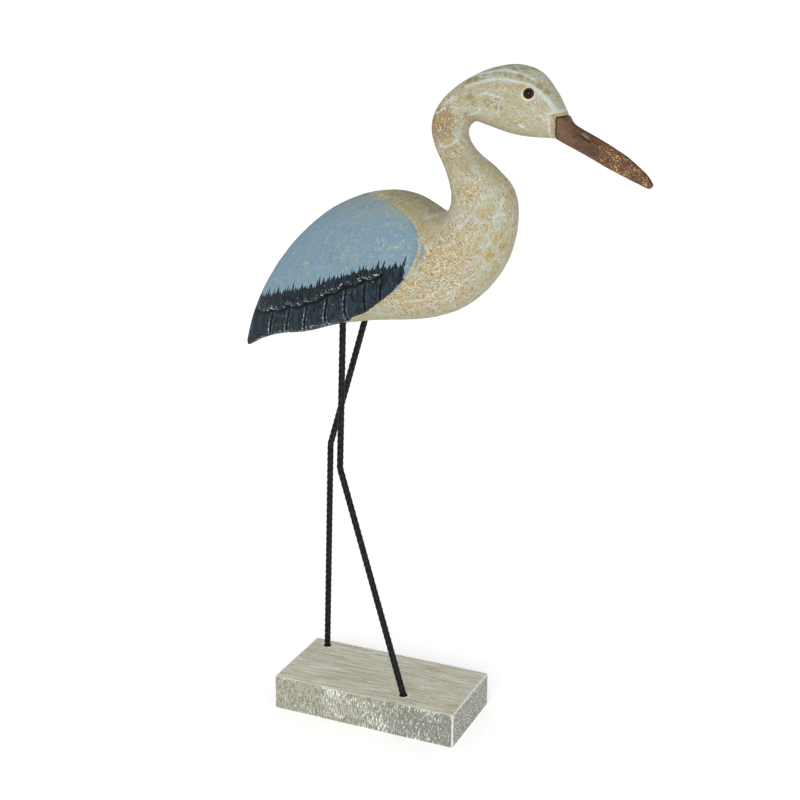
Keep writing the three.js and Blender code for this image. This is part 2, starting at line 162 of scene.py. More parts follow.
# Where the painter put things, in side view: the top and the front end of the dark feathers, and
# strokes, each with its half width and its line; one stroke is a painted highlight along the
# shoulder's crease. The name is that of the map made from them.
DARK_TOP = [
    (-80.3, 288), (-56.7, 295.6), (-35.8, 302), (-21.2, 308.1), (-10.3, 312.9), (3.5, 317.7),
    (15.3, 320.5), (24.7, 322.3), (31.2, 324.1),
]
DARK_FRONT = [(296, 40), (302.3, 18.5), (314.7, 29.8), (324.1, 31), (332, 33)]
STROKES = {
    "stroke_gap": [
        (0.5, [(60.6, 429.9), (70.1, 432.7), (80.9, 435.1), (93, 434.3), (102.2, 432.2), (108, 427.9)]),
        (0.9, [(106, 429.5), (111.8, 424.4), (114.8, 420.5), (117, 418)]),
        (0.3, [(70.7, 426.1), (73.7, 426.8), (77.4, 426.5), (82.4, 425.6), (86, 424.7)]),
        (0.35, [(59.6, 434.7), (68, 436.8), (75.8, 438.6), (83, 440), (95.3, 438.6), (103.1, 435.4)]),
        (0.3, [(62.6, 413.1), (66.7, 414.6), (70.8, 416.1), (71.6, 419.5)]),
        (0.3, [(82, 415.6), (83.6, 418.6), (83.4, 421.4)]),
        (0.4, [(41, 412.8), (44.3, 414.3), (47.8, 416.8)]),
        (0.5, [(45.5, 394), (50.1, 394.1), (52.9, 395.6), (55.2, 397.8)]),
        (0.3, [(45.9, 418.2), (50.7, 421.4), (54.5, 423.9)]),
        (0.3, [(105.9, 415.3), (109.7, 415.4), (111.4, 412.1)]),
        (0.8, [(96, 409.5), (98, 408.3)]),
        (0.4, [(112.6, 416.6), (114.5, 417.6), (118, 417.7), (122, 417.6)]),
        (0.3, [(113.5, 416), (113.6, 409.4), (113.7, 401)]),
        # A painted highlight along the shoulder's crease.
        (0.4, [(37.4, 350.5), (40.6, 351), (43.8, 352), (46.4, 353.4)]),
        (0.4, [(59.6, 360.5), (54.2, 370.2), (55.5, 375.4)]),
        (0.6, [(56.8, 351.8), (62.4, 355.3)]),
        (0.7, [(61.5, 348.1), (67.4, 352.7)]),
        (0.8, [(74.7, 365.1), (77.7, 366.7), (80.6, 367.5)]),
        (0.5, [(83.1, 356.4), (85.4, 361.1), (85.5, 365.7)]),
        (0.4, [(79.6, 337.7), (83.5, 346.7), (81.8, 354.9), (88.2, 356)]),
        (0.5, [(47.3, 300.9), (54.9, 303.2), (62.3, 310.9), (67.3, 316.4), (73.4, 320.7), (79.2, 326.5)]),
        (0.5, [(30.8, 299.7), (39, 301.3), (49.4, 307.8), (55.7, 314.5)]),
    ],
    "cream_gap": [(0.75, [(113.8, 415.6), (116, 415.9), (122, 415.9)])],
    "blue_slip": [
        (0.9, [(40.4, 336), (40.6, 332), (39.2, 327.4)]), (0.5, [(38.5, 326), (37, 322)]),
    ],
}

# Soft-edged oval daubs of paint: x, z, half length, half height, tilt in degrees and, where a daub
# is thinner than full, how thickly it is laid.
BODY_DAUBS = {
    "ochre_ovals": [
        (61.9, 432.6, 2.7, 1.4, 35), (66.9, 435, 2.5, 1.5, 30), (73, 437.4, 2.6, 1.6, 25),
        (79.5, 438.2, 2.5, 1.5, 8), (86.5, 438.4, 2.3, 1.4, 0), (94.2, 436.9, 2.7, 1.5, -8),
        (101, 435.7, 2.6, 1.8, -25), (106.3, 431.9, 2.5, 1.4, -40), (110.5, 428.4, 2.1, 1.3, -50),
        (80, 441.2, 2.2, 1, 10), (64.5, 424.5, 2.4, 1.6, 20), (66.8, 421, 2.3, 1.5, 10),
        (76, 421.5, 2.8, 1.8, -10), (83.5, 419.4, 2.8, 1.7, -10), (52.5, 381.7, 1.6, 2.6, 10),
        (58.8, 369.3, 1.5, 3.2, -8), (49.8, 388.1, 1.8, 2.4, 10), (62, 413.5, 2.2, 1.6, 0),
        (77.3, 354.8, 3, 2.2, 15), (84.9, 343.2, 2.2, 3.2, 5), (76.3, 346.8, 2.4, 2, 0),
        (73.8, 335.3, 2.8, 2, 10), (79.6, 331.2, 3, 1.9, 20), (69.3, 329.4, 2.8, 1.8, 15),
        (86.4, 335.8, 1.8, 3, 10), (66.4, 309.7, 4, 1.6, 35), (88, 366, 1.8, 3, 0),
    ],
    "grit": [
        (52, 319, 20, 21, 0), (34, 305, 20, 9, -35), (60, 337, 14, 12, 30, 0.7),
        (45.5, 407, 10, 13, -20, 0.62), (50, 422, 9, 6, 35, 0.5), (66, 369, 10, 10, 0, 0.6),
        (64, 348, 9, 8, 0, 0.45), (79, 424, 8, 3, -10, 0.3), (20, 297, 18, 7, -25, 0.7),
        (52, 391, 8, 6, 20, 0.5),
    ],
    "grey_wash": [
        (40, 353, 10, 3, 0, 0.8), (60, 397, 6, 12, 25, 0.9), (66, 389, 7, 5, 10, 0.6),
        (60, 352, 12, 8, 20), (112, 422, 9, 12, 40, 0.85), (88, 418, 14, 6, -5, 0.5),
        (73, 375, 12, 5, -35, 0.45), (92, 427, 9, 4, 0, 0.5), (107, 434, 10, 4, -40, 0.5),
    ],
    "warm_coat": [
        (72, 332, 30, 40, 10, 0.9), (85, 405, 30, 5, -4, 0.5), (60, 375, 14, 26, 25, 0.7),
        (40, 300, 40, 14, -20, 0.8), (78, 431, 22, 3, 4, 0.35), (43, 338, 5, 16, 5),
        (85, 372, 8, 14, 30, 0.7), (44, 405, 10, 14, 0, 0.8), (110, 420, 5, 8, 30, 0.4),
    ],
    "rusty_coat": [
        (45.5, 407, 8.5, 12, -20, 0.86), (52, 390, 5, 9, 20, 0.35), (61, 384, 7, 3, -50, 0.4),
    ],
    # Olive paint, much of it painted shade: darker along the ridge of the back, on the crown, under the
    # jaw and down the front edge of the neck.
    "olive_paint_and_shade": [
        (24, 361, 24, 7, -20, 0.9), (40, 353.5, 12, 3.5, -30, 0.3), (2, 366, 12, 3, 5, 0.45),
        (78, 407.5, 12, 2, -12, 0.3), (66, 412, 5, 3, 0, 0.4), (86, 443, 26, 3.4, -3),
        (88, 377, 10, 3.5, -40, 0.6), (92, 364, 3, 8, 0, 0.4), (80, 384, 8, 3, -35, 0.5),
    ],
    "net_cover": [
        (80, 345, 18, 32, 10, 0.6), (60, 375, 16, 20, 20, 0.4), (85, 439, 30, 5, 0, 0.6),
        (74, 418, 16, 6, -5, 0.4), (100, 415, 18, 8, 0, 0.3), (62, 305, 26, 16, 30, 0.4),
        (50, 405, 12, 20, 0, 0.35), (30, 290, 40, 8, 0, 0.3),
    ],
}
BILL_DAUBS = {
    "nostril_patch": [
        (133.3, 404.2, 2.7, 0.55, -33),
    ],
    "smudge": [
        (138.5, 396.5, 5, 2.2, -25), (131, 399.5, 4, 1.5, -30, 0.6), (149, 391, 4, 2, -30, 0.5),
    ],
}

# Rows of brush points along the dark feathers: spacing, height range, least height, lean and shift.
BRUSH_POINTS = [(4.4, 6.4, 1.0, 0.2, 0), (2.5, 4.4, 1.2, 0.12, 40), (1.3, 2.6, 0.6, 0.18, 90)]

# The photograph's camera: its place in metres, how far it is turned and tilted down in degrees, and
# its focal length in pixels of the picture.
CAMERA_PLACE = (0.3941, -0.8499, 0.5300)
CAMERA_TURN, CAMERA_TILT = 24.10, 18.05
FOCAL_PIXELS, PICTURE_PIXELS = 1512, 800
FILM_WIDTH = 36
FLOOR_SIZE = 40


# Shop helpers


def deselect():
    bpy.ops.object.select_all(action="DESELECT")


def take(piece):
    deselect()
    piece.select_set(True)
    bpy.context.view_layer.objects.active = piece


def start_from(add, name, **size):
    """Adds a primitive with nothing else selected, and names it."""
    deselect()
    add(**size)
    piece = bpy.context.object
    piece.name = piece.data.name = name
    return piece


def finish_with(piece, kind, **settings):
    """Adds a modifier to the piece and applies it."""
    take(piece)
    modifier = piece.modifiers.new(kind.title(), kind)
    for name, value in settings.items():
        setattr(modifier, name, value)
    bpy.ops.object.modifier_apply(modifier=modifier.name)


def even_mesh(piece, voxel, rounds):
    """Gives the piece a mesh of small even squares and softens it a little."""
    finish_with(piece, "REMESH", mode="VOXEL", voxel_size=voxel * MM, adaptivity=0)
    finish_with(piece, "SMOOTH", factor=0.5, iterations=rounds)


def open_mesh(piece):
    take(piece)
    bpy.ops.object.mode_set(mode="EDIT")
    return bmesh.from_edit_mesh(piece.data)


def pick_all():
    bpy.ops.mesh.select_all(action="SELECT")


def pick(mesh, wanted):
    """Selects, in edit mode, the vertices that wanted(vertex) says, and what lies between them."""
    bpy.ops.mesh.select_mode(type="VERT")
    bpy.ops.mesh.select_all(action="DESELECT")
    for vertex in mesh.verts:
        vertex.select = wanted(vertex)
    mesh.select_flush(True)


def bisect(mesh, place, normal, **settings):
    whole = [*mesh.verts, *mesh.edges, *mesh.faces]
    bmesh.ops.bisect_plane(mesh, geom=whole, plane_co=place, plane_no=normal, **settings)


def close_mesh():
    bpy.ops.object.mode_set(mode="OBJECT")


def close_solid():
    """Turns every face outwards and leaves edit mode."""
    pick_all()
    bpy.ops.mesh.normals_make_consistent(inside=False)
    close_mesh()


def shift_mesh(piece, x, y, z):
    piece.data.transform(Matrix.Translation(Vector((x, y, z)) * MM))


def read_vectors(rows, field):
    flat = np.empty(len(rows) * 3, np.float32)
    rows.foreach_get(field, flat)
    return flat.reshape(-1, 3).astype(float)


def points_of(piece):
    """The piece's vertices as an array in millimetres."""
    return read_vectors(piece.data.vertices, "co") / MM


def normals_of(piece):
    return read_vectors(piece.data.vertex_normals, "vector")


def put_points(piece, points):
    piece.data.vertices.foreach_set("co", (points * MM).astype(np.float32).ravel())
    piece.data.update()


def keep_maps(piece, **maps):
    """Stores one number per vertex under each name, for the material to read."""
    for name, values in maps.items():
        layer = piece.data.attributes.new(name, "FLOAT", "POINT")
        layer.data.foreach_set("value", values.astype(np.float32))


def side_view(points):
    return points[:, [0, 2]]


def smoothly(low, high, x):
    """0 below low, 1 above high and a soft change between."""
    t = np.clip((x - low) / (high - low), 0, 1)
    return t * t * (3 - 2 * t)


def hollow(gap, half):
    """1 where there is no gap, fading softly to 0 over about twice the half width."""
    return np.exp(-((gap / half) ** 2))


def grain_noise(points, size, seed=0.0):
    """Smooth unevenness of about -1 to 1, with lumps of that size in millimetres along each axis."""
    scaled = points / np.asarray(size, float) + seed
    return np.array([noise.noise(p) for p in scaled])


def distance_along(line):
    """Distance along a line of points, from its start to each of them."""
    steps = np.diff(np.array([tuple(point) for point in line]), axis=0)
    return np.append(0, np.cumsum(np.linalg.norm(steps, axis=1)))


# Carving by cross-sections


def faired(rows, t):
    """The cross-section at station number t of a smooth run through the rows."""
    last = len(rows) - 1
    i = min(int(t), last - 1)
    f = t - i
    b, c = np.array(rows[i], float), np.array(rows[i + 1], float)
    a = np.array(rows[i - 1], float) if i else 2 * b - c
    d = np.array(rows[i + 2], float) if i + 2 <= last else 2 * c - b
    return b + 0.5 * f * (c - a + f * (2 * a - 5 * b + 4 * c - d + f * (3 * (b - c) + d - a)))


def even_stops(rows, per_station):
    """Station numbers spaced evenly from the first row to the last."""
    last = len(rows) - 1
    return np.linspace(0, last, last * per_station + 1)


def smooth_run(rows, per_station=6):
    """Rows of numbers, such as points or cross-sections, run through smoothly."""
    return np.array([faired(rows, t) for t in even_stops(rows, per_station)])


def girth(row, height):
    """Half width of a section at heights given as shares of its middle line."""
    half, wide, over, under = row[4:8]
    above = height > wide
    reach = np.where(above, (height - wide) / (1 - wide), (wide - height) / wide)
    power = np.where(above, over, under)
    return half * np.maximum(0, 1 - reach**power) ** (1 / power)


def section_ring(row, around):
    """One ring of skin: up the right side from belly to back, and down the left side."""
    back, belly = row[0:2], row[2:4]
    height = (1 - np.cos(np.linspace(0, math.pi, PROFILE_POINTS))) / 2
    width = girth(row, height)
    run = distance_along(np.stack([height * np.hypot(*(back - belly)), width], 1))
    even = np.linspace(0, run[-1], around // 2 + 1)
    h, w = np.interp(even, run, height), np.interp(even, run, width)
    w[0] = w[-1] = 0
    x, z = belly[:, None] + (back - belly)[:, None] * h
    right = np.stack([x, -w, z], 1)
    left = right[-2:0:-1] * (1, -1, 1)
    return np.concatenate([right, left])


def loft_block(name, rows, around, stops, end_inset):
    """A closed block of wood: a circle pulled from section to section, shaped at each."""
    block = start_from(bpy.ops.mesh.primitive_circle_add, name, vertices=around, radius=MM)
    mesh = open_mesh(block)
    rings = [section_ring(faired(rows, t), around) * MM for t in stops]
    loop = sorted(mesh.verts, key=lambda v: v.index)
    for vertex, place in zip(loop, rings[0]):
        vertex.co = place
    for ring in rings[1:]:
        was = {tuple(v.co): i for i, v in enumerate(loop)}
        bpy.ops.mesh.extrude_region_move()
        mesh = bmesh.from_edit_mesh(block.data)
        loop = sorted((v for v in mesh.verts if v.select), key=lambda v: was[tuple(v.co)])
        for vertex, place in zip(loop, ring):
            vertex.co = place
    for ring in (rings[0], rings[-1]):
        ends = {tuple(np.float32(p)) for p in ring}
        pick(mesh, lambda v: tuple(np.float32(v.co)) in ends)
        bpy.ops.mesh.edge_face_add()
        bpy.ops.mesh.inset(thickness=end_inset * MM)
        bpy.ops.mesh.poke()
        mesh = bmesh.from_edit_mesh(block.data)
    close_solid()
    finish_with(block, "SUBSURF", levels=2, render_levels=2)
    return block


def line_gap(spots, line):
    """Distance in side view from each spot to a line, and how far along the line it is nearest."""
    gap = np.full(len(spots), np.inf)
    along = np.zeros(len(spots))
    line = np.asarray(line, float)
    run = 0.0
    for start, end in zip(line[:-1], line[1:]):
        step = end - start
        length = np.hypot(*step)
        share = np.clip(((spots - start) @ step) / length**2, 0, 1)
        off = np.hypot(*(spots - start - share[:, None] * step).T)
        nearer = off < gap
        gap = np.where(nearer, off, gap)
        along = np.where(nearer, run + share * length, along)
        run += length
    return gap, along


def nearest_gap(spots, lines):
    return np.min([line_gap(spots, line)[0] for line in lines], axis=0)


def inside_outline(spots, outline):
    x, z = spots.T
    inside = np.zeros(len(spots), bool)
    for (x0, z0), (x1, z1) in zip(outline, [*outline[1:], outline[0]]):
        if z0 == z1:
            continue
        crosses = (z0 > z) != (z1 > z)
        inside ^= crosses & (x < (x1 - x0) * (z - z0) / (z1 - z0) + x0)
    return inside


def daub(spots, x, z, long, high, tilt, thick=1.0):
    """How much of a soft-edged oval daub of paint lies on each spot, from 0 to thick."""
    turn = math.radians(tilt)
    dx, dz = spots[:, 0] - x, spots[:, 1] - z
    u = (dx * math.cos(turn) + dz * math.sin(turn)) / long
    v = (dz * math.cos(turn) - dx * math.sin(turn)) / high
    return smoothly(1.25, 0.7, np.hypot(u, v)) * thick


def daub_maps(spots, sets):
    """One map for each named set of daubs."""
    return {name: np.max([daub(spots, *row) for row in rows], axis=0) for name, rows in sets.items()}


# The carved bird


def at_station(station, values):
    """A value known at even stops along the bird, read off at each station number."""
    return np.interp(station, np.linspace(0, LAST_STATION, len(values)), values)


def along_the_body(points, per_station=6):
    """Station number of the section each point lies on, and its height as a share of that section."""
    x, z = points[:, 0], points[:, 2]
    station = np.full(len(points), 0.0)
    height = np.full(len(points), 0.5)
    middle = np.full(len(points), np.inf)
    before = None
    for t in even_stops(BIRD, per_station):
        row = faired(BIRD, t)
        line = row[0:2] - row[2:4]
        away_x, away_z = x - row[2], z - row[3]
        off = (line[0] * away_z - line[1] * away_x) / np.hypot(*line)
        share = (away_x * line[0] + away_z * line[1]) / (line @ line)
        if before is not None:
            part = before[0] / np.where(before[0] == off, 1, before[0] - off)
            lies = before[1] + part * (share - before[1])
            nearer = (part >= 0) & (part <= 1) & (np.abs(lies - 0.5) < middle)
            station = np.where(nearer, t + (part - 1) / per_station, station)
            height = np.where(nearer, lies, height)
            middle = np.where(nearer, np.abs(lies - 0.5), middle)
        before = (off, share)
    ahead_of_face = np.isinf(middle) & (x > 60)
    return np.where(ahead_of_face, LAST_STATION, station), np.clip(height, -0.2, 1.2)


def scallop_line():
    """The carved step between the short and the long feathers, sagging from groove to groove."""
    posts = np.array([SCALLOP_START, *FEATHER_TOPS], float)
    line = [posts[0]]
    for start, end in zip(posts[:-1], posts[1:]):
        for share in np.linspace(0, 1, 9)[1:]:
            line.append(start + share * (end - start) - (0, 4 * SCALLOP_SAG * share * (1 - share)))
    return np.array(line)


def feather_lines():
    tops_and_drops = zip(FEATHER_TOPS, FEATHER_DROPS)
    return [np.array([(x, z), (x - FEATHER_LEAN, z - drop)]) for (x, z), drop in tops_and_drops]


def wing_depth(spots):
    """Distance in from the wing's edge in side view, negative outside it."""
    edge = smooth_run([WING_REAR[-1], *WING_EDGE, WING_REAR[0]])
    outline = [*map(tuple, edge), *WING_REAR[1:-1]]
    gap, _ = line_gap(spots, edge)
    return np.where(inside_outline(spots, outline), gap, -gap)


def below_scallops(spots):
    """Distance below the scalloped line, negative above it."""
    line = scallop_line()
    gap, _ = line_gap(spots, line)
    return np.where(spots[:, 1] < np.interp(spots[:, 0], line[:, 0], line[:, 1]), gap, -gap)


def scallop_reach(spots):
    """How much of the scalloped step there is, from 0 to 1: it fades out at both ends."""
    return smoothly(-90, -86, spots[:, 0]) * smoothly(18.5, 15.5, spots[:, 0])


def refine_carved_lines(bird):
    """Halves the mesh where the wing's edge and the feather grooves are cut."""
    spots = side_view(points_of(bird))
    carved = [scallop_line(), *feather_lines(), smooth_run(WING_EDGE)]
    near = nearest_gap(spots, carved) < FINE_BAND
    mesh = open_mesh(bird)
    mesh.verts.ensure_lookup_table()
    pick(mesh, lambda v: bool(near[v.index]) and abs(v.co.y) > 2 * MM)
    bpy.ops.mesh.subdivide(number_cuts=1)
    close_mesh()


def raise_wings(bird):
    """Lets the wings stand proud of the body, most where the body is widest."""
    points = points_of(bird)
    station, _ = along_the_body(points)
    half = at_station(station, smooth_run(BIRD, 12)[:, 4])
    out = np.clip(np.abs(points[:, 1]) / half, 0, 1)
    edge = smoothly(-0.3, 0.8, wing_depth(side_view(points)))
    points[:, 1] += np.sign(points[:, 1]) * WING_RAISE * out * edge
    put_points(bird, points)


def cut_feathers(bird):
    """Cuts the scalloped step, the grooves and the shoulder's crease, and leaves knife marks."""
    points = points_of(bird)
    spots = side_view(points)
    in_wing = smoothly(0, 1, wing_depth(spots))
    below = below_scallops(spots)
    step = smoothly(-0.9, 0.2, below) * (1 - 0.8 * smoothly(0.9, 9, below))
    cut = STEP_DEPTH * step * in_wing * scallop_reach(spots)
    for line in feather_lines():
        cut += GROOVE_DEPTH * hollow(line_gap(spots, line)[0], GROOVE_HALF) * in_wing
    gap, along = line_gap(spots, smooth_run(SHOULDER_CREASE))
    cut += CREASE_DEPTH * hollow(gap, CREASE_HALF) * smoothly(0, 4, along)
    cut += 0.16 * grain_noise(points, 11) + 0.07 * grain_noise(points, 4, 31)
    points -= normals_of(bird) * np.minimum(cut, DEEPEST_CUT)[:, None]
    put_points(bird, points)


def carve_bird():
    stops = even_stops(BIRD, RINGS_PER_STATION)
    bird = loft_block("egret_body", BIRD, POINTS_ROUND_BIRD, stops, end_inset=0.5)
    even_mesh(bird, BODY_VOXEL, 4)
    refine_carved_lines(bird)
    raise_wings(bird)
    cut_feathers(bird)
    return bird


def flow_maps(points):
    """Maps of the body itself: distances along and across it, and its underside below the wings."""
    station, height = along_the_body(points)
    rows = smooth_run(BIRD)
    back, belly = rows[:, 0:2], rows[:, 2:4]
    inboard = smoothly(0.8, 0.6, np.abs(points[:, 1]) / at_station(station, rows[:, 4]))
    at_rear = smoothly(5.5, 4, station)
    return {
        "under_wing": smoothly(0.08, 0.03, height) * at_rear * inboard,
        "lower_rim": smoothly(0.09, 0.05, height) * at_rear * (1 - inboard),
        "flow_along": at_station(station, distance_along((back + belly) / 2)),
        "flow_across": (height - 0.5) * at_station(station, np.hypot(*(back - belly).T)),
    }


def map_the_paint(bird):
    """Leaves on the carving the maps that its paint is laid by."""
    points = points_of(bird)
    spots = side_view(points)
    x, z = spots.T
    depth = wing_depth(spots)
    reach = scallop_reach(spots)
    shoulder_rim = smoothly(360, 352, z) * smoothly(308, 322, z) * (x > 0)
    thigh_rim = 0.8 * (z < 296) * (x < 20)
    keep_maps(
        bird,
        wing_depth=depth,
        below_scallop=below_scallops(spots) * reach + 40 * (1 - reach),
        groove_gap=nearest_gap(spots, feather_lines()),
        above_band=z - np.interp(x, *np.array(DARK_TOP, float).T),
        behind_front=np.interp(z, *np.array(DARK_FRONT, float).T) - x,
        pale_rim=np.maximum(shoulder_rim, thigh_rim),
        gold_band=smoothly(-7.5, -5, depth) * smoothly(318, 330, z) * smoothly(362, 355, z),
        eye_gap=np.hypot(x - EYE_X, z - EYE_Z) - EYE_RADIUS,
        **daub_maps(spots, BODY_DAUBS),
        **flow_maps(points),
    )
    for name, strokes in STROKES.items():
        gaps = [line_gap(spots, smooth_run(line, 4))[0] - half for half, line in strokes]
        keep_maps(bird, **{name: np.min(gaps, axis=0)})


def cut_out(piece, cutters):
    """Cuts closed blocks out of the piece, throws them away and clears thin slivers from the seams."""
    for cutter in cutters:
        finish_with(
            piece, "BOOLEAN", operation="DIFFERENCE", object=cutter, solver="EXACT",
            material_mode="TRANSFER",
        )
        bpy.data.objects.remove(cutter)
    open_mesh(piece)
    bpy.ops.mesh.select_all(action="DESELECT")
    bpy.ops.mesh.select_face_by_sides(number=4, type="GREATER")
    bpy.ops.mesh.quads_convert_to_tris(quad_method="BEAUTY", ngon_method="BEAUTY")
    pick_all()
    bpy.ops.mesh.dissolve_degenerate(threshold=SLIVER * MM)
    close_mesh()


def notch_block():
    """The block cut out for the bill's root, its sides flared."""
    block = start_from(bpy.ops.mesh.primitive_cube_add, "notch_block", size=1)
    mesh = open_mesh(block)
    for side in (-0.2, 0.2):
        bisect(mesh, (0, side, 0), (0, 1, 0))
    for v in mesh.verts:
        flare = NOTCH_FLARE if abs(v.co.y) > 0.3 else 0
        x = NOTCH_FRONT if v.co.x > 0 else NOTCH_BACK - flare * NOTCH_SLOPE
        y = math.copysign(NOTCH_HALF + flare, v.co.y)
        z = NOTCH_LEDGE + flare * NOTCH_SLOPE if v.co.z > 0 else NOTCH_FOOT
        v.co = Vector((x, y, z)) * MM
    bmesh.update_edit_mesh(block.data)
    close_mesh()
    return block


def ball_block(name, radius):
    add = bpy.ops.mesh.primitive_uv_sphere_add
    return start_from(add, name, segments=32, ring_count=16, radius=radius * MM)


def eye_socket_block(side):
    ball = ball_block("eye_socket_block", EYE_RADIUS + EYE_GAP)
    shift_mesh(ball, EYE_X, side * EYE_Y, EYE_Z)
    return ball


# Legs


def leg_line(shank, knee, foot, extra=0.0):
    """The bar's centre line, from inside the base to inside the belly."""
    shank, knee, foot = (Vector(p) for p in (shank, knee, foot))
    up, down = (shank - knee).normalized(), (foot - knee).normalized()
    reach = KNEE_RADIUS / math.tan(up.angle(down) / 2)
    end = foot + down * (SOCKET_IN_BASE + extra)
    head = knee + up * ((SOCKET_TOP - knee.z) / up.z + extra)
    before, after = knee + down * reach, knee + up * reach
    bend = [
        before * (1 - t) ** 2 + knee * (2 * t * (1 - t)) + after * t**2
        for t in np.linspace(0, 1, KNEE_STEPS)
    ]
    return [end, *bend, head]


def bend_along(piece, line):
    """Lays a piece that stands along Z, in millimetres from 0, onto a centre line."""
    points = points_of(piece)
    steps = [(b - a).normalized() for a, b in zip(line[:-1], line[1:])]
    side = Vector((0, 1, 0))
    frames = []
    for centre, before, after in zip(line, [steps[0], *steps], [*steps, steps[-1]]):
        ahead = (before + after).normalized()
        side = (side - ahead * side.dot(ahead)).normalized()
        frames.append([tuple(centre), tuple(side), tuple(ahead.cross(side))])
    marks = distance_along(line)

    def at(values):
        return np.stack([np.interp(points[:, 2], marks, axis) for axis in values.T], 1)

    centres, sides, others = np.array(frames).transpose(1, 0, 2)
    put_points(piece, at(centres) + points[:, :1] * at(sides) + points[:, 1:2] * at(others))


def raise_ribs(bar, pitch):
    """Shapes one pitch of bar: two long ribs with a slanted rib across on each face between them."""
    points = points_of(bar)
    angle = np.arctan2(points[:, 1], points[:, 0])
    on_face = np.abs(np.sin(angle))
    long_rib = hollow(on_face, 0.22)
    phase = (points[:, 2] / pitch + 0.5 * (angle / math.pi)) % 1.0
    cross_rib = hollow(phase - 0.5, 0.16) * on_face**0.6
    radius = BAR_RADIUS - RIB_HEIGHT + RIB_HEIGHT * np.maximum(long_rib * 0.7, cross_rib)
    points[:, 0] = radius * np.cos(angle + RIB_TURN)
    points[:, 1] = radius * np.sin(angle + RIB_TURN)
    put_points(bar, points)
    keep_maps(bar, rib_height=np.maximum(long_rib * 0.8, cross_rib))


def ribbed_bar(name, line):
    """Ribbed steel bar, bent along a line: one pitch of ribs, repeated."""
    length = distance_along(line)[-1]
    count = round(length / RIB_PITCH)
    pitch = length / count
    add = bpy.ops.mesh.primitive_circle_add
    bar = start_from(add, name, vertices=BAR_POINTS, radius=BAR_RADIUS * MM)
    open_mesh(bar)
    pick_all()
    for _ in range(RIB_ROWS):
        rise = {"value": (0, 0, pitch / RIB_ROWS * MM)}
        bpy.ops.mesh.extrude_region_move(TRANSFORM_OT_translate=rise)
    close_mesh()
    raise_ribs(bar, pitch)
    finish_with(
        bar, "ARRAY", count=count, use_relative_offset=False, use_constant_offset=True,
        constant_offset_displace=(0, 0, pitch * MM), use_merge_vertices=True, merge_threshold=0.02 * MM,
    )
    mesh = open_mesh(bar)
    for end in (0, length):
        pick(mesh, lambda v: abs(v.co.z - end * MM) < 0.05 * MM)
        bpy.ops.mesh.edge_face_add()
        mesh = bmesh.from_edit_mesh(bar.data)
    close_solid()
    bend_along(bar, line)
    return bar


def leg_socket_block(start, end):
    """A straight round block, cut out where a bar goes in."""
    length = distance_along([start, end])[-1]
    add, radius = bpy.ops.mesh.primitive_cylinder_add, BAR_RADIUS + FIT_GAP
    rod = start_from(add, "leg_socket_block", vertices=24, radius=radius * MM, depth=length * MM)
    shift_mesh(rod, 0, 0, length / 2)
    bend_along(rod, [start, end])
    return rod


# The bill, the eyes and the base


def carve_bill():
    last = len(BILL) - 1
    inner_stops = even_stops(BILL, RINGS_PER_STATION)[1:-1]
    stops = [0, END_RING, *inner_stops, last - END_RING, last]
    bill = loft_block("egret_bill", BILL, POINTS_ROUND_BILL, stops, end_inset=0.3)
    points = points_of(bill)
    spots = side_view(points)
    across = points[:, 1]
    gap, along = line_gap(spots, NOSTRIL)
    cut = NOSTRIL_DEPTH * hollow(gap, NOSTRIL_HALF) * (np.abs(across) > 2) * smoothly(-2, 7, along)
    knob = np.hypot(spots[:, 0] - KNOB_X, spots[:, 1] - KNOB_Z)
    cut -= KNOB_HEIGHT * hollow(knob, KNOB_RADIUS) * hollow(across, KNOB_HALF)
    cut += 0.12 * grain_noise(points, (9, 5, 5), 7) + 0.05 * grain_noise(points, 2.2, 3)
    points -= normals_of(bill) * cut[:, None]
    points[:, 0] = np.maximum(points[:, 0], BILL_BACK)
    put_points(bill, points)
    rows = smooth_run(BILL, 8)
    keep_maps(
        bill,
        nostril_gap=gap,
        nostril_along=along,
        from_back=line_gap(spots, rows[:, 0:2])[0],
        from_belly=line_gap(spots, rows[:, 2:4])[0],
        **daub_maps(spots, BILL_DAUBS),
    )
    return bill


def turn_bead(name, side):
    """An eye: a ball with its hidden back cut flat."""
    ball = ball_block(name, EYE_RADIUS)
    ball.data.transform(Matrix.Rotation(math.pi / 2, 4, "X"))
    mesh = open_mesh(ball)
    bisect(mesh, (0, -side * EYE_BACK * MM, 0), (0, -side, 0), clear_outer=True)
    bmesh.update_edit_mesh(ball.data)
    pick(mesh, lambda v: v.is_boundary)
    bpy.ops.mesh.edge_face_add()
    close_mesh()
    shift_mesh(ball, EYE_X, side * EYE_Y, EYE_Z)
    return ball


def weather_base(base):
    """Wears the base's edges, and leaves saw marks on its sides and open grain on its top."""
    points, normals = points_of(base), normals_of(base)
    height = BASE_SIZE[2]
    to_face = np.array(BASE_SIZE) / 2 - np.abs(points - (0, 0, height / 2))
    edge = np.sort(to_face, axis=1)[:, 1]
    uneven = 0.25 + 0.12 * grain_noise(points, 9, 5) + 0.12 * grain_noise(points, 2.5, 9)
    on_side = sum(smoothly(0.8, 0.95, np.abs(normals[:, axis])) for axis in (0, 1))
    on_top = smoothly(0.8, 0.95, normals[:, 2])
    saw = 0.07 * grain_noise(points, (0.9, 0.9, 9), 2) * on_side
    grain = 0.08 * grain_noise(points, (22, 1.3, 5), 4) * on_top
    cut = np.maximum(smoothly(3, 0, edge) * uneven, 0)
    cut += np.maximum(0, 0.07 + saw) * on_side + (0.07 + grain) * on_top
    points -= normals * cut[:, None]
    points[:, 2] = np.maximum(points[:, 2], 0)
    put_points(base, points)
    feet = [np.hypot(points[:, 0] - foot[0], points[:, 1] - foot[1]) for *_, foot in LEGS.values()]
    below_top = np.maximum(0, height - 1 - points[:, 2])
    keep_maps(
        base,
        edge_worn=smoothly(1.6, 0.7, edge),
        foot_gap=np.min(feet, axis=0) - BAR_RADIUS - FIT_GAP + below_top,
    )


